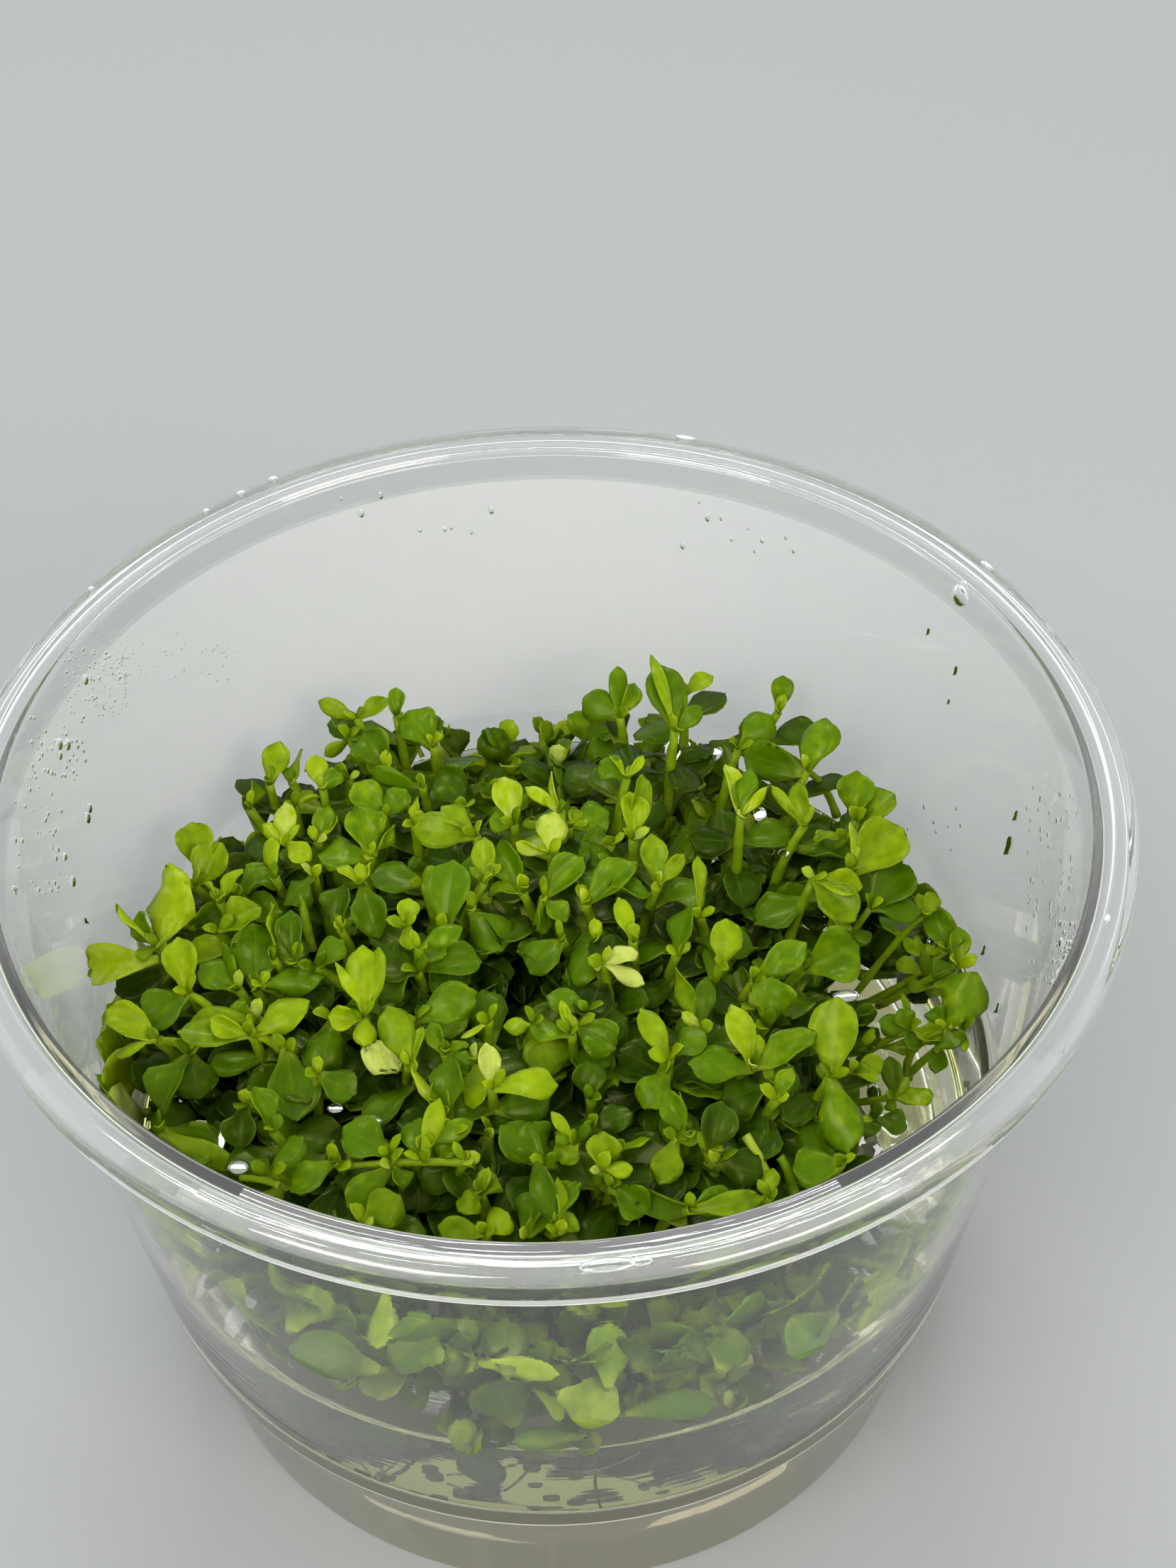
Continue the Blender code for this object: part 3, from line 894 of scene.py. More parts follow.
def canopyPoint(x, y, lift, steps=4):
    # The place under a pixel at a lift over the leaves' dome, found by stepping to the dome's own height
    height = np.full(len(x), clump["top"] - 2.0)
    for _ in range(steps):
        place = throughPixel(x, y, height + lift)
        height = canopyHeight(place[:, 0], place[:, 1])
    return throughPixel(x, y, height + lift)


def fillShoots():
    # Each shoot is a stem with crossed pairs of leaves, the lower pairs wide and flat, the upper small and
    # steep
    plan = clump
    rng = np.random.default_rng(plan["seed"])
    count = plan["shoots"]
    number = np.arange(count)
    share = np.sqrt((number + 0.5) / count)
    bearing = np.radians(plan["goldenAngle"]) * number
    out = np.stack([np.cos(bearing), np.sin(bearing)], -1)
    reach = np.where(insideOpenWater(out[:, 0], out[:, 1]) > 0.0, plan["openRadius"], plan["radius"])
    ground = np.array(plan["centre"]) + out * (share * (reach - plan["edgeRoom"]))[:, None]
    ground += rng.normal(0.0, plan["scatter"], ground.shape)
    lean = (share ** 3 * plan["edgeLean"] + rng.uniform(*plan["leanSpread"], count))[:, None]
    crown = ground + out * lean + rng.normal(0.0, plan["crownScatter"], ground.shape)
    top = canopyHeight(crown[:, 0], crown[:, 1]) - plan["headDrop"] + rng.uniform(*plan["headSpread"], count)
    head = np.column_stack([crown, top - plan["edgeDrop"] * share ** 6])
    foot = np.column_stack([ground * plan["footReach"], rng.uniform(*plan["foot"], count)])
    radius = rng.uniform(*plan["stemRadius"], count)
    parts = [toned(stemTubes(foot, head, radius, plan["stemLean"], *plan["stemGrid"]), plan["stemTone"])]
    turn = rng.uniform(0.0, 2.0 * math.pi, count)
    knee = kneeOf(foot, head, plan["stemLean"])
    for pair, (up, size, slope, tone) in enumerate(plan["pairs"]):
        node = onCurve(foot, knee, head, up)
        size = size * rng.uniform(*plan["sizeSpread"], count)
        slope = np.radians(slope + rng.normal(0.0, plan["slopeSpread"], count))
        for half in (0.0, math.pi):
            bearing = turn + pair * math.pi / 2.0 + half + rng.normal(0.0, plan["turnSpread"], count)
            way = wayAt(bearing, slope)
            length = plan["length"] * size * rng.uniform(*plan["lengthSpread"], count)
            tip = keepInside(node + way * length[:, None], plan["wallGap"])
            aim = np.array(plan["face"]) - plan["faceBack"] * way
            blades = variedBlades(rng, "fill", node, tip, length * rng.uniform(*plan["broad"], count), aim)
            shade = tone + rng.normal(0.0, plan["toneSpread"], count)
            # Painted light: the tone is made paler near the front wall and towards the back
            nearness = (plan["frontFrom"] - tip[:, 1]) / plan["frontFade"]
            shade -= plan["frontPaintedLight"] * np.clip(nearness, 0.0, 1.0)
            shade -= plan["backPaintedLight"] * np.clip((tip[:, 1] - plan["backFrom"]) / plan["backFade"], 0.0, 1.0)
            parts.append(toned(blades, np.clip(shade, *plan["toneRange"])))
    return parts


shootNodes = ["shoot_%02d" % number for number in range(1, 35)]
leafPoints = addLeaves("smallShoots", fillShoots(), leafGreen, shootNodes)

# Leaves that the photo shows one by one. Each shoot: pixel (x, y) where its leaves meet, lift in mm over the
# canopy, then its leaves as (tip x, tip y, width in mm, tone from 0 pale to 1 dark, roll in degrees)
shownShoots = {
    "leftFan": (224, 1338, 2.8, ((241, 1218, 5.2, .16, 0), (163, 1275, 2.6, .15, 60),
                                 (196, 1286, 2.6, .36, 25), (190, 1346, 1.8, .26, 50))),
    "leftSpoon": (266, 1402, 1.6, ((251, 1322, 3.0, .22, 0), (207, 1445, 4.2, .42, 10))),
    "leftLow": (223, 1469, 1.2, ((149, 1424, 3.0, .20, 0), (162, 1491, 2.0, .20, 55))),
    "leftMid": (355, 1461, 1.8, ((250, 1456, 3.0, .36, 30), (437, 1412, 3.0, .27, 15),
                                 (296, 1437, 1.9, .2, 20))),
    "leftTall": (362, 1398, -0.3, ((358, 1302, 4.6, .55, 0),)),
    "curled": (336, 1396, 0.5, ((313, 1328, 1.8, .40, 55), (282, 1360, 3.2, .42, 0))),
    "leftSmall": (361, 1438, 0.6, ((325, 1420, 2.3, .38, 10), (270, 1440, 2.4, .32, 5))),
    "leftFold": (268, 1305, 0.4, ((320, 1278, 2.4, .50, 20), (230, 1290, 2.4, .5, 0))),
    "leftNotch": (309, 1315, 1.2, ((369, 1281, 3.1, .30, 0),)),
    "leftBright": (276, 1252, 1.2, ((314, 1189, 3.6, .30, 5),)),
    "leftPair": (311, 1273, 2.4, ((287, 1245, 1.1, .20, 50), (343, 1226, 1.8, .25, 20),
                                  (306, 1258, 0.9, .15, 0))),
    "innerBroad": (336, 1262, 0.2, ((391, 1243, 3.2, .45, 0),)),
    "glossyDark": (443, 1237, 1.0, ((402, 1278, 3.2, .52, 15),)),
    "thinBright": (389, 1240, 1.2, ((383, 1181, 2.1, .22, 25),)),
    "starPair": (511, 1248, 2.2, ((475, 1225, 1.1, .20, 40), (523, 1216, 1.4, .20, 20),
                                  (536, 1325, 3.2, .52, 0))),
    "darkFan": (596, 1246, 0.0, ((521, 1237, 3.8, .50, 0),)),
    "button": (480, 1311, 0.6, ((493, 1279, 2.3, .38, 0), (486, 1248, 3.0, .62, 0))),
    "blade": (386, 1353, 1.6, ((383, 1273, 1.9, .30, 62),)),
    "foldedMid": (418, 1359, 1.0, ((390, 1316, 2.4, .42, 20), (410, 1284, 2.4, .60, 0))),
    "halfLight": (446, 1365, 0.5, ((485, 1327, 2.6, .42, 0), (462, 1342, 0.9, .12, 10))),
    "brightTwin": (514, 1433, 2.6, ((512, 1333, 3.0, .25, 0), (535, 1336, 2.5, .28, 20),
                                    (463, 1435, 2.1, .20, 15), (515, 1476, 2.0, .18, 0),
                                    (473, 1358, 1.4, .18, 20))),
    "saddle": (369, 1390, 0.6, ((458, 1379, 2.8, .45, 10),)),
    "mitten": (470, 1440, 0.2, ((449, 1520, 3.8, .55, 10),)),
    "mittenLow": (447, 1515, 0.3, ((503, 1543, 3.0, .50, 0),)),
    "lowBroad": (404, 1478, 0.6, ((420, 1582, 4.5, .50, 0),)),
    "lowEdge": (386, 1597, 0.4, ((357, 1533, 2.3, .38, 48),)),
    "lowLeft": (268, 1488, 0.6, ((232, 1574, 3.6, .42, 10), (283, 1550, 3.8, .60, 0))),
    "roundFront": (551, 1627, 0.7, ((484, 1590, 3.6, .42, 0),)),
    "backBright": (380, 1107, 2.2, ((395, 1046, 2.6, .28, 0),)),
    "backEdge": (412, 1105, 1.2, ((426, 1056, 1.8, .30, 45),)),
    "backGrey": (352, 1142, 1.2, ((356, 1100, 1.8, .38, 55),)),
    "backPoint": (456, 1114, 2.2, ((442, 1065, 2.1, .20, 25), (482, 1090, 2.0, .40, 10))),
    "shoulder": (286, 1230, 1.2, ((270, 1160, 3.4, .30, 15), (312, 1180, 2.6, .40, 30))),
    "paleFace": (405, 1190, 2.6, ((404, 1132, 2.3, .11, 0), (371, 1163, 1.5, .15, 0),
                                  (438, 1215, 2.2, .2, 20))),
    "topBright": (416, 1137, 1.2, ((453, 1124, 1.4, .18, 35),)),
    "backMid": (449, 1188, 1.1, ((464, 1137, 2.1, .38, 10), (476, 1152, 1.6, .20, 40))),
    "fullMid": (525, 1209, 0.8, ((506, 1136, 3.7, .38, 0), (446, 1208, 3.7, .38, 5),
                                 (557, 1163, 1.5, .34, 35))),
    "backRound": (493, 1100, 1.2, ((467, 1086, 1.9, .36, 10),)),
    "backLong": (596, 1110, 1.2, ((522, 1086, 1.9, .45, 35),)),
    "silver": (540, 1152, 1.2, ((500, 1104, 3.2, .34, 0), (574, 1114, 2.5, .42, 10))),
    "paleBlade": (585, 1166, 1.3, ((589, 1124, 1.2, .20, 30),)),
    "spoonTip": (560, 1012, 4.4, ((559, 970, 1.6, .38, 0),)),
    "backWings": (504, 1014, 4.0, ((449, 989, 1.8, .30, 25), (550, 986, 1.9, .30, 30))),
    "backFlag": (492, 1042, 2.4, ((462, 1022, 2.4, .42, 20), (458, 1066, 1.6, .30, 50))),
    "backShade": (548, 1086, 1.4, ((514, 1034, 3.8, .50, 0),)),
    "backGlow": (612, 1054, 2.4, ((574, 1004, 4.0, .42, 0), (610, 1028, 2.1, .28, 0))),
    "broadGlow": (672, 1180, 1.8, ((581, 1168, 3.4, .33, 0), (622, 1138, 2.7, .28, 20))),
    "shadeTop": (655, 1140, -0.3, ((618, 1086, 3.8, .62, 0),)),
    "paleTwin": (725, 1163, 2.3, ((710, 1096, 2.8, .13, 8), (690, 1158, 2.4, .35, 10))),
    "lemon": (774, 1204, 3.0, ((782, 1145, 2.9, .09, 0), (727, 1189, 1.3, .12, 45))),
    "needlePair": (791, 1146, 3.6, ((741, 1111, 1.3, .15, 30), (778, 1088, 1.0, .15, 45))),
    "archMid": (804, 1166, 1.6, ((860, 1148, 3.4, .40, 10), (828, 1150, 1.8, .30, 0))),
    "tallMid": (628, 1312, 1.2, ((640, 1213, 4.1, .44, 0),)),
    "lime": (683, 1246, 2.2, ((683, 1181, 2.2, .27, 0), (707, 1220, 1.3, .22, 30))),
    "broadShade": (664, 1284, 0.8, ((709, 1342, 4.2, .50, 0),)),
    "cupShade": (793, 1328, 0.6, ((748, 1374, 3.6, .52, 12),)),
    "cupTwin": (842, 1328, 0.7, ((802, 1392, 3.6, .50, 8),)),
    "spatula": (592, 1338, 2.6, ((653, 1308, 2.0, .40, 10),)),
    "freckled": (573, 1307, 2.2, ((576, 1267, 2.0, .24, 0), (580, 1340, 1.7, .28, 10))),
    "curlWide": (588, 1372, 0.3, ((536, 1402, 3.6, .50, 25),)),
    "midLens": (737, 1260, 1.1, ((688, 1262, 1.7, .35, 20), (707, 1184, 3.0, .42, 10))),
    "crowd": (768, 1267, 1.0, ((823, 1209, 3.0, .40, 20), (765, 1318, 2.3, .45, 35),
                               (799, 1301, 2.1, .40, 30))),
    "rowMid": (822, 1272, 0.7, ((860, 1220, 3.4, .42, 0),)),
    "rowBack": (862, 1192, 1.0, ((820, 1184, 3.2, .50, 10),)),
    "backKnob": (874, 1012, 3.8, ((871, 940, 2.0, .42, 0), (895, 964, 1.8, .35, 20),
                                  (822, 985, 3.3, .50, 10))),
    "tallBack": (952, 1032, 5.0, ((930, 938, 3.7, .50, 0), (918, 924, 1.2, .30, 0),
                                  (989, 997, 1.8, .45, 20))),
    "tallSide": (964, 980, 6.0, ((1006, 954, 1.9, .28, 0),)),
    "stalkRound": (1098, 1005, 4.0, ((1105, 953, 2.2, .40, 0),)),
    "backSaddle": (1042, 1058, 2.4, ((1090, 1010, 3.4, .40, 20),)),
    "coin": (1139, 1088, 3.6, ((1165, 1013, 4.3, .36, 0), (1048, 1062, 4.0, .52, 10))),
    "wingLeft": (1208, 1157, 2.4, ((1209, 1087, 3.6, .36, 10), (1262, 1120, 3.4, .34, 10))),
    "limePair": (1045, 1153, 3.2, ((1023, 1078, 2.0, .12, 10), (1082, 1110, 1.1, .15, 30),
                                   (1058, 1084, 2.1, .42, 0))),
    "spoonPair": (893, 1185, 3.2, ((888, 1117, 2.6, .25, 0), (906, 1092, 2.1, .35, 20))),
    "vPair": (884, 1099, 3.6, ((860, 1066, 0.9, .20, 30), (908, 1066, 0.9, .20, 30),
                               (846, 1074, 2.6, .42, 0))),
    "midTrio": (929, 1249, 2.2, ((918, 1176, 2.5, .32, 0), (965, 1205, 1.5, .28, 20))),
    "wavyBlade": (987, 1294, 2.4, ((984, 1207, 1.4, .30, 15),)),
    "lowBlade": (893, 1328, 2.0, ((872, 1266, 1.7, .22, 15),)),
    "rowLong": (824, 1278, 1.2, ((899, 1216, 3.2, .40, 15), (918, 1262, 2.4, .42, 25))),
    "rowShade": (868, 1224, 0.4, ((820, 1186, 3.2, .50, 0),)),
    "greatLight": (1201, 1231, 2.2, ((1275, 1168, 4.8, .27, 0), (1199, 1160, 1.3, .12, 25))),
    "greatLow": (1148, 1240, 1.6, ((1206, 1300, 3.8, .34, 10), (1217, 1252, 2.4, .20, 20))),
    "upright": (1135, 1165, 2.2, ((1125, 1104, 2.1, .30, 10), (1088, 1108, 1.1, .25, 30))),
    "sideEar": (1192, 1182, 1.4, ((1147, 1184, 1.9, .30, 35),)),
    "paleBuds": (851, 1358, 2.6, ((900, 1344, 1.8, .02, 8), (909, 1389, 1.5, .02, 15),
                                  (835, 1362, 1.2, .05, 0))),
    "coinLeft": (816, 1448, 0.7, ((868, 1482, 3.6, .46, 0),)),
    "oliveSpoon": (944, 1496, 2.2, ((903, 1423, 2.1, .27, 0),)),
    "ear": (946, 1490, 1.1, ((996, 1456, 2.6, .42, 0),)),
    "crossWide": (1062, 1508, 1.7, ((970, 1500, 3.2, .42, 0), (1031, 1417, 2.4, .17, 0),
                                    (1070, 1459, 1.2, .25, 30), (1152, 1456, 2.9, .36, 0))),
    "shadeCoin": (1088, 1530, 0.0, ((1019, 1550, 4.2, .62, 0),)),
    "spoonSmall": (1096, 1552, 1.7, ((1118, 1507, 1.6, .34, 10),)),
    "spoonBig": (1172, 1520, 3.2, ((1181, 1406, 4.2, .27, 0), (1196, 1627, 3.7, .38, 0))),
    "coinRight": (1136, 1366, 1.7, ((1212, 1336, 5.0, .38, 0),)),
    "ribbed": (1064, 1384, 1.6, ((1138, 1330, 2.8, .38, 15),)),
    "palePlate": (1016, 1364, 1.8, ((1025, 1296, 3.0, .24, 0),)),
    "midPlate": (955, 1347, 0.6, ((975, 1279, 3.0, .45, 10),)),
    "lightPlate": (1080, 1450, 1.2, ((1090, 1378, 3.8, .37, 0),)),
    "tent": (987, 1450, 1.6, ((953, 1365, 1.9, .33, 45), (997, 1378, 1.8, .55, 20))),
    "deepMid": (1060, 1422, -0.8, ((1045, 1362, 2.3, .60, 10),)),
    "roundLow": (942, 1511, 1.1, ((908, 1564, 3.1, .38, 0),)),
    "wetFold": (967, 1603, 0.7, ((942, 1536, 2.2, .38, 28), (958, 1540, 1.2, .38, 50))),
    "wetLeaf": (955, 1608, 0.7, ((929, 1671, 2.7, .33, 10), (985, 1600, 1.4, .35, 20))),
    "frontLime": (848, 1650, 2.2, ((851, 1596, 2.8, .28, 0), (893, 1649, 1.5, .20, 10))),
    "frontCurl": (870, 1624, 1.0, ((919, 1605, 1.5, .33, 35),)),
    "frontShade": (835, 1592, -0.8, ((893, 1570, 2.6, .68, 0),)),
    "deepTall": (1000, 1627, -0.4, ((1019, 1553, 3.1, .66, 0),)),
    "deepPlate": (1012, 1640, -1.0, ((1076, 1656, 3.6, .72, 0),)),
    "chip": (1086, 1689, 0.0, ((1091, 1648, 1.3, .25, 10),)),
    "rightPlate": (1187, 1642, 0.0, ((1118, 1650, 3.6, .42, 0),)),
    "jagged": (1205, 1512, 0.8, ((1246, 1496, 2.0, .30, 10), (1240, 1524, 1.4, .28, 20))),
    "armUp": (601, 1613, 1.2, ((668, 1583, 1.8, .38, 10),)),
    "armDown": (640, 1600, 0.8, ((618, 1633, 2.6, .40, 0),)),
    "frontOval": (594, 1638, 0.7, ((592, 1577, 3.1, .42, 0), (620, 1549, 1.8, .20, 10))),
    "paleSpoon": (694, 1536, 3.0, ((685, 1471, 1.9, .05, 0), (787, 1531, 2.8, .22, 12),
                                   (764, 1536, 1.2, .24, 35))),
    "hanging": (672, 1500, 2.0, ((668, 1565, 2.6, .30, 0), (640, 1490, 1.5, .4, 30))),
    "midDark": (633, 1572, 1.0, ((639, 1489, 3.0, .50, 0),)),
    "lightEdge": (612, 1558, 1.0, ((580, 1505, 1.5, .14, 35),)),
    "tallPlate": (578, 1505, 2.1, ((547, 1419, 3.0, .33, 0), (597, 1448, 1.1, .30, 20))),
    "crumpled": (548, 1464, 0.4, ((534, 1512, 3.2, .03, 10),)),
    "miniSpoon": (628, 1487, 1.1, ((608, 1442, 1.7, .38, 0), (661, 1473, 1.3, .35, 20))),
    "wideTop": (587, 1440, 1.6, ((673, 1399, 3.6, .42, 0),)),
    "paleSliver": (689, 1442, 1.2, ((650, 1465, 0.8, .14, 10),)),
    "brightRidge": (756, 1446, 1.0, ((710, 1448, 1.5, .25, 25),)),
    "archRight": (806, 1460, 1.1, ((747, 1451, 2.4, .40, 20), (791, 1411, 0.9, .20, 20))),
    "pointMid": (830, 1426, 0.8, ((771, 1405, 2.4, .45, 0),)),
    "holeEdge": (835, 1552, -0.9, ((828, 1496, 2.8, .62, 0),)),
    "doublePlate": (768, 1642, 0.8, ((705, 1588, 3.6, .50, 10), (744, 1583, 3.9, .50, 0))),
    "bulb": (812, 1612, 1.1, ((791, 1642, 2.4, .30, 0), (783, 1598, 1.9, .38, 10), (778, 1568, 1.0, .22, 0))),
    "heart": (678, 1684, 1.2, ((646, 1708, 2.8, .34, 0), (710, 1680, 2.3, .36, 0), (672, 1662, 0.8, .20, 0))),
    "frontLow": (685, 1740, 0.4, ((618, 1730, 2.4, .36, 10), (717, 1711, 2.6, .24, 0))),
    "frontWide": (513, 1727, 0.7, ((566, 1688, 3.4, .34, 10),)),
    "underStem": (552, 1646, 0.6, ((489, 1703, 2.8, .38, 20), (568, 1680, 1.8, .4, 20))),
    "frontLeft": (470, 1641, 0.5, ((410, 1682, 3.0, .38, 10), (474, 1628, 0.9, .22, 0))),
    "deepFront": (690, 1602, -1.5, ((660, 1671, 3.6, .66, 0),)),
    "frontNarrow": (786, 1738, 0.6, ((786, 1661, 1.3, .25, 40), (806, 1710, 2.4, .33, 20),
                                     (757, 1637, 2.2, .52, 10))),
    "frontDeep": (742, 1744, -0.4, ((757, 1678, 2.6, .50, 25), (820, 1668, 2.6, .40, 10))),
    "oliveWide": (229, 1596, -0.8, ((316, 1624, 3.6, .46, 0), (350, 1655, 2.4, .30, 10))),
    "oliveDeep": (345, 1560, -0.9, ((340, 1622, 3.0, .62, 0),)),
    "frontGloss": (384, 1656, 0.6, ((428, 1603, 2.4, .42, 8), (360, 1640, 1.6, .6, 0))),
    "wetFront": (866, 1675, 0.4, ((918, 1708, 3.0, .45, 5), (985, 1705, 2.6, .5, 5))),
    "frontMid": (972, 1708, 0.0, ((1036, 1690, 3.0, .45, 0), (1078, 1690, 2.0, .34, 10))),
    "rightTall": (1228, 1282, 1.4, ((1284, 1222, 4.4, .52, 10), (1300, 1288, 2.4, .48, 5))),
    "rightLime": (1301, 1292, 1.8, ((1319, 1260, 2.0, .30, 10),)),
    "rightPlateUp": (1334, 1342, 1.4, ((1318, 1281, 2.8, .42, 0), (1300, 1340, 1.2, .3, 30))),
    "rightOval": (1350, 1364, 1.6, ((1353, 1308, 2.0, .36, 0), (1316, 1380, 2.2, .55, 0))),
    "rightGreat": (1336, 1450, 1.6, ((1379, 1372, 4.4, .36, 0), (1304, 1432, 2.0, .50, 0),
                                     (1350, 1478, 2.6, .50, 0))),
    "rightGlint": (1284, 1455, -2.0, ((1336, 1470, 2.3, .25, 10), (1268, 1424, 2.0, .38, 0),
                                      (1273, 1401, 0.9, .35, 20), (1240, 1440, 2.2, .42, 0))),
    "rightBud": (1262, 1548, -4.5, ((1317, 1545, 2.1, .28, 0), (1250, 1566, 1.2, .4, 20),
                                    (1255, 1490, 1.9, .6, 0))),
    "rightWet": (1231, 1580, -4.5, ((1280, 1590, 2.3, .60, 0),)),
    "levelBuds": (655, 1640, 0.5, ((677, 1629, 1.2, .12, 10), (671, 1648, 1.0, .16, 20),
                                   (662, 1623, 0.9, .20, 30))),
    "levelFoot": (481, 1646, 0.3, ((467, 1626, 1.1, .18, 10),)),
    "rightThin": (1358, 1456, 1.2, ((1360, 1484, 0.9, .30, 10),)),
}
shownFit = {
    "upShare": 0.84,       # leaves that point up in the photo rise by this share of a face-on leaf's rise
    "downShare": 0.60,     # and those that point down fall by this share
    "footGap": 1.0,        # least distances of a leaf's foot and tip from the wall
    "tipGap": 0.5,
    "wider": 1.1,          # the blades are this many times as wide as the table says
    "lookSpread": 0.18,
    "stemRadius": 0.50,
    "stemDrop": 9.0,
    "stemReach": 0.93,
    "stemLean": 0.2,
    "stemTone": 0.33,
    "wetFrom": 30.0,       # heads beyond this reach at the open water stand over it: their stems run back
    "wetReach": 0.86,      # towards the clump, to this share of their reach, and end at this height, under
    "wetFoot": 34.0,       # water
    "wetBow": 1.6,
    "wetThinner": 0.72,
    "seed": 5,
}
# Pairs of leaves lower on the same stems: how far below the head, how far in per mm of that, sizes in mm
underLeafPlan = {
    "clump": {"drops": (3.4, 6.4), "inward": 0.006, "length": (4.6, 6.2), "width": (3.2, 4.4), "tone": 0.64},
    "overWater": {"drops": (2.6,), "inward": 0.020, "length": (2.2, 3.2), "width": (1.4, 2.2), "tone": 0.40},
}
underFit = {
    "dropSpread": (0.85, 1.15),
    "slope": (0.08, 0.22),       # radians, middle and spread
    "face": (0.0, -0.1, 1.0),
    "faceBack": 0.4,
    "toneSpread": 0.12,
    "toneRange": (0.2, 1.0),
}
budPlan = {
    "slope": (35.0, 75.0),       # degrees
    "length": (1.4, 2.5),
    "width": (0.8, 1.4),
    "face": (0.0, -0.3, 1.0),
    "faceBack": 0.5,
    "tone": (0.27, 0.09),        # middle and spread
    "toneRange": (0.05, 0.6),
}


def tipBuds(head, rng):
    # A steep pair of very small young leaves at the end of each stem
    count = len(head)
    turn = rng.uniform(0.0, 2.0 * math.pi, count)
    parts = []
    for half in (0.0, math.pi):
        way = wayAt(turn + half, np.radians(rng.uniform(*budPlan["slope"], count)))
        tip = keepInside(head + way * rng.uniform(*budPlan["length"], (count, 1)), shownFit["tipGap"])
        aim = np.array(budPlan["face"]) - budPlan["faceBack"] * way
        blades = variedBlades(rng, "bud", head, tip, rng.uniform(*budPlan["width"], count), aim)
        tone = rng.normal(*budPlan["tone"], count)
        parts.append(toned(blades, np.clip(tone, *budPlan["toneRange"])))
    return parts


def underLeaves(head, rng, plan):
    # A crossed pair of leaves on each stem, a few mm below the leaves that the photo shows
    count = len(head)
    turn = rng.uniform(0.0, 2.0 * math.pi, count)
    parts = []
    for level, drop in enumerate(plan["drops"]):
        node = head - np.array([0.0, 0.0, drop]) * rng.uniform(*underFit["dropSpread"], (count, 1))
        node[:, :2] *= 1.0 - plan["inward"] * drop
        for half in (0.0, math.pi):
            way = wayAt(turn + level * math.pi / 2.0 + half, rng.normal(*underFit["slope"], count))
            tip = keepInside(node + way * rng.uniform(*plan["length"], (count, 1)), shownFit["tipGap"])
            aim = np.array(underFit["face"]) - underFit["faceBack"] * way
            blades = variedBlades(rng, "under", node, tip, rng.uniform(*plan["width"], count), aim)
            tone = rng.normal(plan["tone"], underFit["toneSpread"], count)
            parts.append(toned(blades, np.clip(tone, *underFit["toneRange"])))
    return parts


def shownLeaves():
    # The leaves of the table, a stem under each place where they meet, and the leaves and buds on that stem
    fit = shownFit
    rng = np.random.default_rng(fit["seed"])
    rows = [(x, y, lift) + leaf for x, y, lift, leaves in shownShoots.values() for leaf in leaves]
    nodeX, nodeY, lift, tipX, tipY, width, tone, roll = np.array(rows, float).T
    node = canopyPoint(nodeX, nodeY, lift, steps=2)
    upward = (nodeY - tipY) / leafShape["pixelsPerMm"] * math.sin(math.radians(cameraPlan["tilt"]))
    rise = upward * np.where(upward > 0.0, fit["upShare"], fit["downShare"])
    tip = keepInside(throughPixel(tipX, tipY, node[:, 2] + rise), fit["tipGap"])
    node = keepInside(node, fit["footGap"])
    aim = unit(np.array([leafShape["lookUp"]]) + rng.normal(0.0, fit["lookSpread"], node.shape))
    sign = rng.choice([-1.0, 1.0], len(node))
    parts = [toned(variedBlades(rng, "shown", node, tip, width * fit["wider"], aim, roll * sign), tone)]
    first = np.unique(np.round(node, 3), axis=0, return_index=True)[1]
    head = node[first]
    foot = head - np.array([0.0, 0.0, fit["stemDrop"]]) + rng.normal(0.0, 1.0, head.shape)
    overWater = insideOpenWater(head[:, 0], head[:, 1]) > 0.0
    overWater &= np.hypot(head[:, 0], head[:, 1]) > fit["wetFrom"]
    foot[:, :2] *= np.where(overWater, fit["wetReach"], fit["stemReach"])[:, None]
    foot[overWater, 2] = fit["wetFoot"]
    bow = rng.normal(0.0, 1.0, head.shape) * np.where(overWater, fit["wetBow"], 0.0)[:, None]
    foot += bow * [1.0, 1.0, 0.0]
    radius = fit["stemRadius"] * np.where(overWater, fit["wetThinner"], 1.0)
    stems = stemTubes(foot, head + [0.0, 0.0, 0.1], radius, fit["stemLean"], 7, 8, -bow)
    parts.append(toned(stems, fit["stemTone"]))
    parts += underLeaves(head[~overWater], rng, underLeafPlan["clump"])
    parts += underLeaves(head[overWater], rng, underLeafPlan["overWater"])
    parts += tipBuds(head, rng)
    return parts


leafPoints = np.concatenate([leafPoints, addLeaves("topShoots", shownLeaves(), leafGreen)])


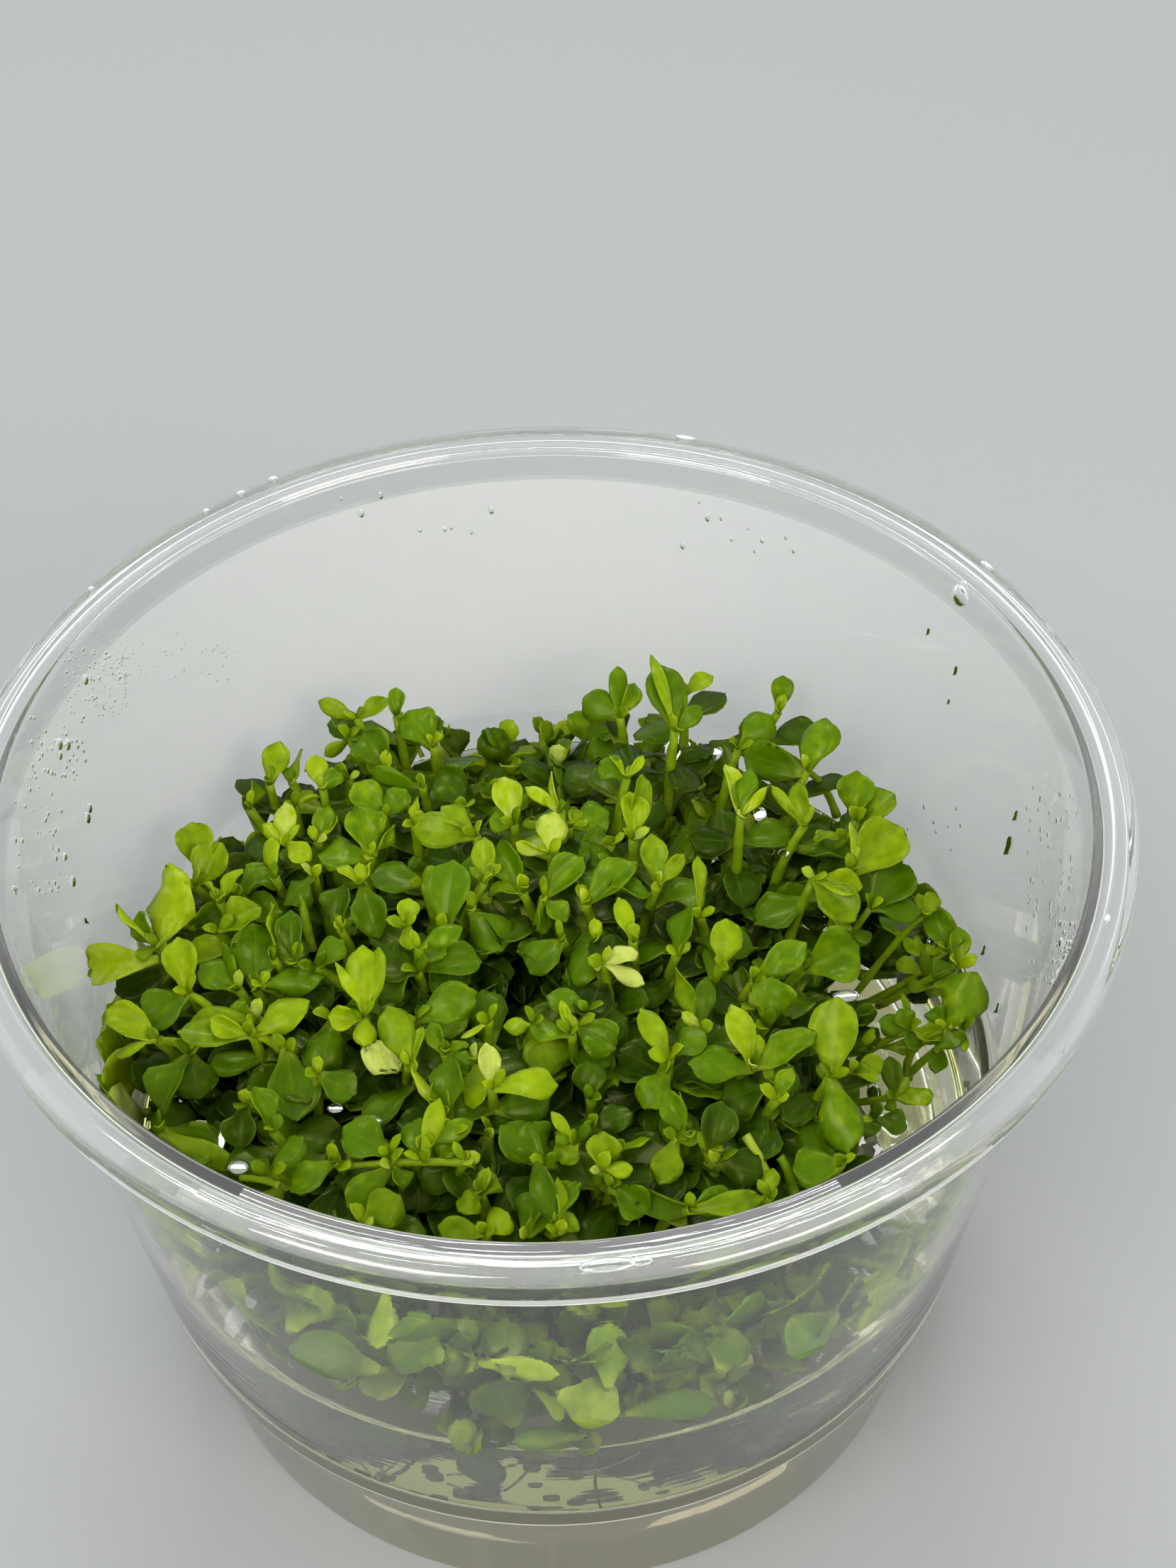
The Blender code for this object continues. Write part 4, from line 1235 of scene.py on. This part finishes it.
# Leaves and stems that stand against the wall and show through it
wallPlan = {
    "leaves": 130,
    "bearingSpread": 0.05,
    "low": 35.6,
    "frontDrop": 2.0,            # the leaves hang this much lower at the middle of the front
    "frontFade": 0.45,           # radians over which that drop fades to either side
    "frontHalf": 0.62,           # radians to either side of the front where they stand deeper in and darker
    "frontDeep": 3.2,
    "frontDarker": 0.20,
    "high": 46.0,
    "backDrop": 10.5,            # at the back they end this much lower, because the clump draws away there
    "backShift": 0.35,
    "length": (6.5, 9.8),
    "headroom": 0.55,            # a leaf's foot stands at least this share of its length below the top
    "climb": (80.0, 50.0),       # degrees, middle and spread
    "least": 24.0,
    "broad": (0.68, 0.86),       # width as a share of the length
    "gap": 0.45,
    "baseRoom": (0.8, 2.4),      # how much deeper in the leaves' feet stand than their tips
    "faceSpread": 0.06,
    "tone": (0.20, 0.11),        # middle and spread
    "toneRange": (0.04, 0.7),
    "stemRoom": (5.0, 9.0),
    "stemGrid": (6, 6),
    "stemRadius": (0.42, 0.60),
    "stemTone": 0.36,
    "stemLean": 0.5,
    "bareFrom": -30.0,           # bearings in degrees between which the water lies open
    "bareTo": 17.0,
    "stemFoot": (34.4, 35.1),
    "seed": 23,
}
# And those that the photo shows one by one through the front wall
frontPlan = {
    "shift": 22.0,               # pixels by which the cup's lower part stands further right than in the photo
    "footGap": 1.4,
    "backingGap": 2.2,           # the backing leaves stand this much deeper in than those before them
    "top": 44.5,                 # height of the leaves that show through the upper part of the wall
    "darker": 0.14,
    "faceOut": 0.6,              # their faces look this much outwards and this much up
    "faceUp": 0.8,
    "faceSpread": 0.05,
    "innerReach": 0.88,          # their stems stand at this share of their reach
    "stemDrop": 1.0,
    "stemTop": 34.4,
    "stemRadius": 0.38,
    "stemTone": 0.40,
}
# Leaves seen through the front wall in the photo: pixel of the foot, pixel of the tip, width in mm and tone.
# The wall blurs them, so which end is the foot is a guess for some
frontLeaves = {
    "paleRound": (394, 1870, 425, 1803, 5.0, .20),
    "leftBroad": (516, 1926, 388, 1892, 4.0, .40),
    "brightUpright": (524, 1816, 513, 1894, 3.1, .08),
    "midRound": (606, 1906, 528, 1872, 5.4, .24),
    "dimUpright": (618, 1906, 638, 1848, 2.8, .38),
    "darkUpright": (694, 1932, 690, 1852, 4.2, .48),
    "darkBroad": (704, 2022, 676, 1940, 5.6, .44),
    "tallCentre": (766, 2014, 744, 1884, 4.0, .12),
    "tallRight": (834, 1948, 838, 1856, 3.8, .20),
    "centreLow": (766, 1960, 852, 1992, 4.8, .12),
    "levelSilver": (648, 1912, 768, 1930, 1.9, .03),
    "levelLow": (802, 2038, 700, 2030, 2.0, .26),
    "wedge": (862, 2006, 988, 1976, 2.8, .30),
    "rightBroad": (1000, 1944, 1012, 1864, 4.6, .30),
    "rightPale": (1168, 1862, 1086, 1905, 4.0, .26),
    "sunkLeft": (622, 2034, 682, 2090, 4.0, .46),
}
# Leaves deeper in behind those, where the photo shows one soft green mass and no single outline can be read
frontBacking = {
    "massLeft": (668, 1992, 652, 1912, 5.4, .50),
    "massMid": (738, 1990, 716, 1900, 5.4, .44),
    "massRight": (812, 1992, 806, 1904, 5.2, .46),
    "massFar": (886, 1976, 892, 1890, 5.2, .52),
    "massEdge": (962, 1952, 966, 1880, 4.8, .50),
    "massLow": (716, 2046, 742, 1986, 4.6, .52),
    "massDeep": (640, 1960, 606, 1900, 4.6, .54),
}
def wallCrossing(px, py, top, bottom, topOutside):
    # Height at which the sight line under each pixel crosses the inner wall, found by halving the range of
    # heights between a place on the one side of the wall and a place on its other side
    top = np.full(len(px), top)
    bottom = np.full(len(px), bottom)
    for _ in range(26):
        middle = (top + bottom) / 2.0
        place = throughPixel(px, py, middle)
        outside = np.hypot(place[:, 0], place[:, 1]) > innerWall(middle)
        asTop = outside == topOutside
        top = np.where(asTop, middle, top)
        bottom = np.where(asTop, bottom, middle)
    return (top + bottom) / 2.0


def behindFrontWall(px, py, gap):
    # The place under each pixel at gap mm inside the near wall. Where the sight line comes in above the
    # leaves, it is followed on down to them
    px = px + frontPlan["shift"]
    height = wallCrossing(px, py, cup["rimHeight"], cup["floorHeight"], True)
    return keepInside(throughPixel(px, py, np.minimum(height, frontPlan["top"])), gap)


def alongWall(rng):
    # Each leaf runs from a base a little off the wall to a tip beside it, so both lie on the wall's cone less
    # a gap, and its face looks outwards; a stem goes down and inwards from each base to the root mat
    plan = wallPlan
    count = plan["leaves"]
    bearing = np.linspace(-math.pi, math.pi, count, endpoint=False)
    bearing += rng.normal(0.0, plan["bearingSpread"], count)
    degrees = np.degrees(bearing)
    bearing = bearing[(degrees < plan["bareFrom"]) | (degrees > plan["bareTo"])]
    count = len(bearing)
    fromFront = bearing + math.pi / 2.0
    atFront = np.abs(fromFront) < plan["frontHalf"]
    deep = np.where(atFront, plan["frontDeep"], 0.0)
    most = plan["high"] - plan["backDrop"] * np.clip(np.sin(bearing) + plan["backShift"], 0.0, 1.0)
    length = rng.uniform(*plan["length"], count)
    least = plan["low"] - plan["frontDrop"] * np.exp(-(fromFront / plan["frontFade"]) ** 2)
    room = most - length * plan["headroom"] - least
    low = least + room * rng.uniform(0.0, 1.0, count)
    climb = np.radians(rng.normal(*plan["climb"], count))
    high = np.clip(low + length * np.sin(climb), plan["least"], most)
    tipBearing = bearing + length * np.cos(climb) / innerWall(low)
    base = onRing(innerWall(low) - plan["gap"] - deep - rng.uniform(*plan["baseRoom"], count), bearing, low)
    tip = onRing(innerWall(high) - plan["gap"] - deep, tipBearing, high)
    aim = onRing(1.0, (bearing + tipBearing) / 2.0, 0.0) + rng.normal(0.0, plan["faceSpread"], (count, 3))
    blades = variedBlades(rng, "pressed", base, tip, length * rng.uniform(*plan["broad"], count), aim)
    tone = np.clip(rng.normal(*plan["tone"], count) + atFront * plan["frontDarker"], *plan["toneRange"])
    away = innerWall(low) - deep - rng.uniform(*plan["stemRoom"], count)
    foot = onRing(away, bearing, rng.uniform(*plan["stemFoot"], count))
    radius = rng.uniform(*plan["stemRadius"], count)
    stems = stemTubes(foot, base, radius, plan["stemLean"], *plan["stemGrid"])
    return [toned(blades, tone), toned(stems, plan["stemTone"])]


def throughFront(rng):
    # The leaves read from the photo, each with a short stem
    plan = frontPlan
    rows = tableRows(frontLeaves, frontBacking)
    count = len(rows)
    behind = np.where(np.arange(count) < len(frontLeaves), 0.0, plan["backingGap"])
    base = behindFrontWall(rows[:, 0], rows[:, 1], plan["footGap"] + behind)
    tip = behindFrontWall(rows[:, 2], rows[:, 3], wallPlan["gap"] + behind)
    aim = plan["faceOut"] * unit((base + tip) * [1.0, 1.0, 0.0]) + [0.0, 0.0, plan["faceUp"]]
    aim += rng.normal(0.0, plan["faceSpread"], (count, 3))
    blades = variedBlades(rng, "behindWall", base, tip, rows[:, 4], aim)
    inner = base * [plan["innerReach"], plan["innerReach"], 1.0]
    inner[:, 2] = np.minimum(base[:, 2] - plan["stemDrop"], plan["stemTop"])
    radius = np.full(count, plan["stemRadius"])
    stems = stemTubes(inner, base, radius, wallPlan["stemLean"], *wallPlan["stemGrid"])
    return [toned(blades, rows[:, 5] + plan["darker"]), toned(stems, plan["stemTone"])]


rng = np.random.default_rng(wallPlan["seed"])
addLeaves("wallShoots", alongWall(rng) + throughFront(rng), wetLeaf)


# Bare stems that the photo shows between the leaves: pixel and lift in mm over the canopy at the one end,
# the same at the other end, then radius in mm and tone
bareStems = {
    "levelPale": (479, 1646, 0.3, 655, 1640, 0.5, 0.36, .30),
    "levelGlint": (340, 1662, -0.9, 394, 1672, -0.7, 0.34, .30),
    "thickOlive": (633, 1322, 0.6, 596, 1398, -4.0, 0.65, .30),
    "besideGloss": (423, 1262, 0.6, 440, 1340, -3.5, 0.45, .34),
    "lightRight": (1134, 1084, 2.6, 1180, 1150, -4.0, 0.40, .20),
    "darkThin": (554, 1000, 3.6, 596, 1068, 0.0, 0.22, .60),
    "leftLow": (222, 1469, 1.1, 276, 1481, -0.2, 0.45, .22),
    "leftMid": (352, 1460, 1.6, 396, 1480, -0.4, 0.45, .24),
    "leftSpoon": (265, 1402, 1.4, 306, 1434, -0.6, 0.42, .24),
    "rightThick": (1288, 1326, 0.6, 1317, 1399, -4.0, 0.70, .40),
    "waterLeft": (992, 1618, -1.0, 1014, 1682, -4.5, 0.45, .42),
    "waterRight": (1100, 1632, -1.0, 1120, 1684, -4.5, 0.45, .40),
    "waterPale": (1052, 1602, -0.6, 1088, 1684, -4.0, 0.50, .12),
}


bareFit = {
    "wallGap": 1.2,
    "lean": 0.38,
    "rise": 0.9,                 # mm by which the middle of the curve is lifted
}
rows = tableRows(bareStems)
stemEnds = [keepInside(canopyPoint(*rows[:, k:k + 3].T), bareFit["wallGap"]) for k in (3, 0)]
stems = stemTubes(*stemEnds, rows[:, 6], bareFit["lean"], 9, 10, (0.0, 0.0, bareFit["rise"]))
addLeaves("bareStems", [toned(stems, rows[:, 7])], leafGreen)


# Roots, old stems and sunken leaves in the water, which carry the shoots
rootPlan = {
    "roots": 14,
    "radius": (0.10, 0.18),
    "sweep": 4.5,                # mm by which the middle of a root's curve is pulled aside
    "reach": 18.0,
    "top": (34.2, 34.8),         # a root starts at this height among the stems' feet and hangs to one between
    "low": 26.0,                 # low and high
    "high": 33.5,
    "length": (7.0, 14.0),
    "lean": 0.5,
    "wallGap": 1.0,
    "frontGap": 0.8,
    "colours": ((0.35, (0.07, 0.10, 0.02)), (0.62, (0.22, 0.25, 0.08))),
    "patchScale": 260.0,
    "roughness": 0.5,
    "sunkenLeaves": 14,
    "leafReach": 25.0,
    "leafHeights": (33.2, 34.6),
    "leafHang": 1.5,             # a tip hangs at most this far below those heights
    "leafLength": (4.5, 6.5),
    "leafWidth": (3.0, 4.4),
    "leafTone": (0.36, 0.14),    # middle and spread
    "seed": 31,
}
# Roots that the photo shows through the front wall: pixel of each end, radius in mm, how far the middle sags
frontRoots = {
    "alongWall": (1007, 2005, 1200, 1922, 0.13, -0.8),
    "arcRight": (880, 2044, 800, 2071, 0.20, -1.6),
    "lowRight": (800, 2071, 908, 2093, 0.12, 0.3),
    "underLeft": (745, 2066, 830, 2079, 0.12, 0.4),
    "curlLeft": (726, 2066, 690, 2098, 0.16, -1.4),
}


def rootTubes():
    # Thin tubes that start among the stems' feet, inside a disc of the reach, and trail off into the water
    plan = rootPlan
    rng = np.random.default_rng(plan["seed"])
    count = plan["roots"]
    spread = plan["reach"] * np.sqrt(rng.uniform(0.0, 1.0, count))
    bearing = rng.uniform(0.0, 2.0 * math.pi, count)
    first = onRing(spread, bearing, rng.uniform(*plan["top"], count))
    way = rng.uniform(0.0, 2.0 * math.pi, count)
    second = first + onRing(rng.uniform(*plan["length"], count), way, np.zeros(count))
    second[:, 2] = rng.uniform(plan["low"], plan["high"], count)
    rows = tableRows(frontRoots)
    frontEnds = [behindFrontWall(rows[:, k], rows[:, k + 1], plan["frontGap"]) for k in (0, 2)]
    first = np.concatenate([first, frontEnds[0]])
    second = np.concatenate([keepInside(second, plan["wallGap"]), frontEnds[1]])
    sweep = rng.normal(0.0, plan["sweep"], (count, 3)) * [1.0, 1.0, 0.1]
    sag = rows[:, 5:6] * [0.0, 0.0, 1.0]
    radius = np.concatenate([rng.uniform(*plan["radius"], count), rows[:, 4]])
    return stemTubes(second, first, radius, plan["lean"], 9, 4, np.concatenate([sweep, sag]))


def rootMaterial():
    material, tree, shader = newMaterial("oldRoot")
    patches = noiseAt(tree, objectPlace(tree), rootPlan["patchScale"], 2.0)
    tree.links.new(ramp(tree, patches, rootPlan["colours"]), shader.inputs["Base Color"])
    shader.inputs["Roughness"].default_value = rootPlan["roughness"]
    return material


def sunkenLeaves():
    # Fallen leaves that hang just under the water's surface, beneath the clump
    plan = rootPlan
    rng = np.random.default_rng(plan["seed"] + 1)
    count = plan["sunkenLeaves"]
    bearing = rng.uniform(0.0, 2.0 * math.pi, count)
    reach = plan["leafReach"] * np.sqrt(rng.uniform(0.0, 1.0, count))
    lowest, highest = plan["leafHeights"]
    base = onRing(reach, bearing, rng.uniform(lowest, highest, count))
    way = unit(rng.normal(0.0, 1.0, (count, 3)) * [1.0, 1.0, 0.25])
    tip = keepInside(base + way * rng.uniform(*plan["leafLength"], count)[:, None], plan["frontGap"])
    tip[:, 2] = np.clip(tip[:, 2], lowest - plan["leafHang"], highest)
    aim = rng.normal(0.0, 0.4, (count, 3)) + [0.0, 0.0, 1.0]
    blades = variedBlades(rng, "sunken", base, tip, rng.uniform(*plan["leafWidth"], count), aim)
    return [toned(blades, np.clip(rng.normal(*plan["leafTone"], count), 0.05, 0.9))]


points, quads, _ = rootTubes()
addPiece("roots", points, quads, noTris, rootMaterial(), ["root_mat"])
print("roots made:", len(quads), "quads")
addLeaves("sunkenLeaves", sunkenLeaves(), wetLeaf)


# Two damaged leaves, one torn off short at the left edge, one pale and crumpled: foot and tip as pixel and
# lift in mm over the canopy, then width, roll, cupping, arch, ripple and twist, then rows and columns
damaged = {
    "torn": ((224, 1354, 2.4), (104, 1368, 2.7), (4.0, -8.0, 0.45, 0.05, 0.14, 0.2), (18, 13)),
    "crumpled": ((512, 1466, 0.9), (562, 1512, 0.6), (3.4, 10.0, 0.3, 0.1, 0.4, 0.4), (16, 13)),
}
damage = {
    "cut": 0.80,                 # share of the length where the leaf is torn through
    "tear": ((0.028, 9.0, 0.0), (0.02, 23.0, 1.0), (0.013, 41.0, 0.0)),   # sines: depth, speed and start
    "tornTone": 0.14,
    "folds": ((17.0, 4.0), (-6.0, 15.0)),    # how fast the two sines run across and along
    "foldDepth": 0.34,
    "crumpledTone": 0.0,
}


def damagedBlade(name):
    foot, tip, shape, grid = damaged[name]
    foot, tip = (canopyPoint(*np.array([end], float).T) for end in (foot, tip))
    shape = (np.array([value]) for value in shape)
    return foot - tip, leafBlades(foot, tip, *shape, *grid, np.array([leafShape["lookUp"]]))


def damagedLeaves():
    # The torn blade is drawn back where it passes the cut, which runs across the leaf as a sum of sines; the
    # crumpled one is shifted along its facing by a product of two sines
    back, (points, quads, uv) = damagedBlade("torn")
    across = uv[:, 0] * 2.0 - 1.0
    tear = sum(depth * np.sin(speed * across + start) for depth, speed, start in damage["tear"])
    line = damage["cut"] + tear
    points = points + back * np.maximum(uv[:, 1] - line, 0.0)[:, None]
    parts = [toned((points, quads, uv), damage["tornTone"])]
    _, (points, quads, uv) = damagedBlade("crumpled")
    fold = np.prod([np.sin(uv @ np.array(speeds)) for speeds in damage["folds"]], axis=0)
    points = points + np.array([leafShape["lookUp"]]) * (damage["foldDepth"] * fold)[:, None]
    parts.append(toned((points, quads, uv), damage["crumpledTone"]))
    return parts


addLeaves("damagedLeaves", damagedLeaves(), leafGreen)


# Drops, dew and scraps of leaf on the cup's inner wall and rim. Each patch: pixel box, how many, radius range
# in mm, how far they are drawn out down the wall
dewPatches = {
    "leftFine": (88, 915, 180, 1010, 150, (0.07, 0.17), 1.1),
    "leftUpper": (110, 890, 330, 960, 90, (0.05, 0.13), 1.1),
    "leftMiddle": (40, 1010, 120, 1100, 55, (0.10, 0.24), 1.3),
    "leftLow": (15, 1100, 95, 1260, 40, (0.10, 0.26), 1.4),
    "leftDrops": (50, 1030, 130, 1320, 6, (0.34, 0.50), 1.6),
    "rightStreaks": (1448, 1110, 1520, 1400, 90, (0.07, 0.15), 3.2),
    "rightBeads": (1480, 1300, 1516, 1400, 30, (0.10, 0.20), 1.4),
    "backMarks": (1276, 1130, 1362, 1202, 8, (0.08, 0.14), 3.0),
    "backFew": (470, 690, 700, 760, 8, (0.16, 0.34), 1.4),
    "backRight": (960, 700, 1130, 790, 10, (0.12, 0.30), 1.8),
}
hangingDrops = {
    "rimDrop": (1360, 838, 1.15, 1.1),     # pixel, radius in mm, how far drawn out
    "rimDropSmall": (1387, 815, 0.55, 1.3),
    "leftBig": (92, 1050, 0.50, 1.5),
    "leftBigUpper": (118, 958, 0.45, 1.6),
    "rightBig": (1500, 1330, 0.40, 1.4),
}
wallScraps = {
    "scrapLong": (1425, 1192, 2.5, 0.85),    # pixel, length and width in mm
    "scrapStalk": (1435, 1150, 1.3, 0.40),
    "scrapLow": (1409, 1422, 1.5, 0.35),
    "scrapBack": (1350, 945, 1.1, 0.35),
    "scrapBackLow": (1340, 989, 0.6, 0.24),
    "scrapBackHigh": (1311, 890, 0.8, 0.28),
    "scrapMid": (1390, 1340, 1.4, 0.30),
    "scrapLeft": (119, 1299, 0.7, 0.40),
}
dewFit = {
    "rimRoom": 0.6,              # drops on the wall stay this far below the rim's top and above the water
    "waterRoom": 1.0,
    "rimReach": (49.2, 50.1),    # and marks on the rim between these distances from the cup's axis
    "raised": 0.8,               # a drop's middle is raised by this share of its height, and a little more
    "skinGap": 0.02,
    "drawnSpread": (0.8, 1.25),
    "wallFlat": 0.55,            # height of a drop as a share of its width
    "rimFlat": 0.5,
    "filmFlat": 0.07,
    "filmSlant": 0.7,            # the films are seen this much foreshortened
    "scrapGap": 0.14,
    "scrapTone": 0.78,
    "seed": 47,
}


def onWall(px, py):
    # The place on the inner wall, between rim and water, under each pixel
    top = cup["rimHeight"] - dewFit["rimRoom"]
    height = wallCrossing(px, py, top, water["level"] + dewFit["waterRoom"], False)
    place = throughPixel(px, py, height)
    place[:, :2] *= (innerWall(height) / np.hypot(place[:, 0], place[:, 1]))[:, None]
    return place


def beads(place, out, along, radius, drawn, flat, rings, sides):
    # Flattened balls on a surface: side*cos(a)*sin(p) + along*drawn*sin(a)*sin(p) + out*flat*cos(p), times
    # the radius, with most of each ball on the out side of its place
    sideways = np.cross(out, along)
    p = math.pi * np.arange(1, rings) / rings
    a = 2.0 * math.pi * np.arange(sides) / sides
    onSide = (np.sin(p)[:, None] * np.cos(a))[None, :, :, None]
    onAlong = (np.sin(p)[:, None] * np.sin(a))[None, :, :, None]
    onOut = (np.cos(p)[:, None] + 0.0 * a)[None, :, :, None]
    size = radius[:, None, None, None]
    longer = drawn[:, None, None, None]
    depth = (flat * radius)[:, None]
    centre = place + out * (depth * dewFit["raised"] + dewFit["skinGap"])
    ball = (sideways[:, None, None] * onSide + along[:, None, None] * onAlong * longer
            + out[:, None, None] * onOut * flat)
    skin = centre[:, None, None] + size * ball
    count = len(place)
    body = (rings - 1) * sides
    poles = np.stack([centre + out * depth, centre - out * depth], 1)
    points = np.concatenate([skin.reshape(count, body, 3), poles], 1).reshape(-1, 3)
    number = np.arange(sides)
    ahead = (number + 1) % sides
    last = (rings - 2) * sides
    caps = np.concatenate([np.stack([np.full(sides, body), number, ahead], -1),
                           np.stack([np.full(sides, body + 1), last + ahead, last + number], -1)])
    wall = gridQuads(rings - 1, sides, closed=True)[:, ::-1]
    step = (body + 2) * np.arange(count)[:, None, None]
    return points, (wall[None] + step).reshape(-1, 4), (caps[None] + step).reshape(-1, 3)


def scatterDew():
    rng = np.random.default_rng(dewFit["seed"])
    drops = []
    for x0, y0, x1, y1, count, sizes, longer in dewPatches.values():
        spots = [rng.uniform(x0, x1, count), rng.uniform(y0, y1, count), rng.uniform(*sizes, count)]
        drops.append(np.column_stack([*spots, longer * rng.uniform(*dewFit["drawnSpread"], count)]))
    pixelX, pixelY, radius, drawn = np.concatenate([*drops, tableRows(hangingDrops)]).T
    place = onWall(pixelX, pixelY)
    out = unit(np.column_stack([-place[:, :2], np.full(len(place), -2.0)]))
    down = unit(np.cross(out, np.cross([0.0, 0.0, 1.0], out)))
    return beads(place, out, down, radius, drawn, dewFit["wallFlat"], 5, 8)


dew, _, _ = clearMaterial("dew", 1.0, 0.0, water["dewColour"], water["bending"])
points, quads, tris = scatterDew()
addPiece("dewOnWall", points, quads, tris, dew)
print("dew made:", len(quads) + len(tris), "faces")

# Small marks on the top of the rim: pixel, radius in mm, how far drawn out along the rim
rimDrops = {
    "dropLeft": (385, 677, 0.42, 1.2),
    "dropLeftNext": (340, 697, 0.34, 1.4),
    "dropLeftLow": (291, 722, 0.30, 1.3),
    "dropFarLeft": (129, 832, 0.30, 1.2),
    "dropRight": (1398, 797, 0.34, 2.6),
}
mouldMarks = {
    "kinkBack": (971, 610, 0.34, 3.2),
    "notchRight": (1553, 1295, 0.24, 2.2),
    "blobFront": (858, 1800, 0.60, 3.4),
    "blobFrontSmall": (908, 1794, 0.34, 2.4),
}


def onRim(marks):
    rows = tableRows(marks)
    place = throughPixel(rows[:, 0], rows[:, 1], cup["rimHeight"])
    reach = np.hypot(place[:, 0], place[:, 1])
    place[:, :2] *= (np.clip(reach, *dewFit["rimReach"]) / reach)[:, None]
    out = np.tile([0.0, 0.0, 1.0], (len(rows), 1))
    along = unit(np.column_stack([-place[:, 1], place[:, 0], np.zeros(len(rows))]))
    return beads(place, out, along, rows[:, 2], rows[:, 3], dewFit["rimFlat"], 8, 12)


points, quads, tris = onRim(rimDrops)
addPiece("dewOnRim", points, quads, tris, dew)
points, quads, tris = onRim(mouldMarks)
addPiece("rimMarks", points, quads, tris, finishes[list(plasticFinishes).index("backRim")])

# Films of water held between the leaves, which shine in the light of the back window: pixel box, lift in mm
waterFilms = {
    "backOne": (883, 1049, 898, 1076, 0.3),
    "backTwo": (935, 1037, 979, 1089, 0.3),
    "backThree": (985, 1048, 1023, 1076, 0.3),
    "rightOne": (1061, 1139, 1083, 1161, 0.3),
    "rightTwo": (1078, 1184, 1094, 1207, 0.3),
    "rightThree": (1097, 1198, 1115, 1210, 0.3),
    "rightFour": (1154, 1293, 1168, 1306, 0.2),
    "rightFive": (1172, 1398, 1213, 1414, 0.0),
    "rightSix": (1223, 1528, 1240, 1552, -3.0),
    "rightDrop": (1307, 1322, 1321, 1336, 3.0),
    "leftOne": (308, 1584, 320, 1622, -1.6),
    "leftTwo": (322, 1638, 352, 1656, -1.6),
    "leftThree": (462, 1558, 485, 1570, -0.2),
    "leftFour": (511, 1575, 541, 1588, -0.2),
}


def filmBeads():
    # Very flat beads whose faces look half way between the camera's place and the back window. Each hangs on
    # the first leaf that reaches into its line of sight, below a start a little over the canopy
    left, top, right, bottom, lift = tableRows(waterFilms).T
    place = canopyPoint((left + right) / 2.0, (top + bottom) / 2.0, lift)
    toSight = unit(np.array(cameraPlan["at"]) - place)
    wide = (right - left) / 2.0 / leafShape["pixelsPerMm"]
    deep = (bottom - top) / 2.0 / leafShape["pixelsPerMm"] / dewFit["filmSlant"]
    for number in range(len(place)):
        below = -(leafPoints - place[number]) @ toSight[number]
        across = np.linalg.norm(leafPoints - place[number] + below[:, None] * toSight[number], axis=1)
        met = below[(below > 0.0) & (across < np.minimum(wide, deep)[number])]
        place[number] -= toSight[number] * met.min()
    toWindow = unit(np.array(lightPlan["backPlace"]) / mm - place)
    out = unit(toSight + toWindow)
    along = unit(np.cross(out, [1.0, 0.0, 0.0]))
    return beads(place, out, along, wide, deep / wide, dewFit["filmFlat"], 7, 12)


points, quads, tris = filmBeads()
addPiece("waterFilms", points, quads, tris, dew)
print("films and rim marks made")

rows = tableRows(wallScraps)
place = onWall(rows[:, 0], rows[:, 1])
inwards = unit(np.column_stack([-place[:, :2], np.zeros(len(place))]))
low = place + inwards * dewFit["scrapGap"]
low[:, 2] -= rows[:, 2] / 2.0
high = low + [0.0, 0.0, 1.0] * rows[:, 2:3]
scrapEnds = [keepInside(end, dewFit["scrapGap"]) for end in (low, high)]
still = np.zeros((5, len(rows)))
scraps = leafBlades(*scrapEnds, rows[:, 3], *still, 6, 5, inwards)
addLeaves("leafScraps", [toned(scraps, dewFit["scrapTone"])], leafGreen)
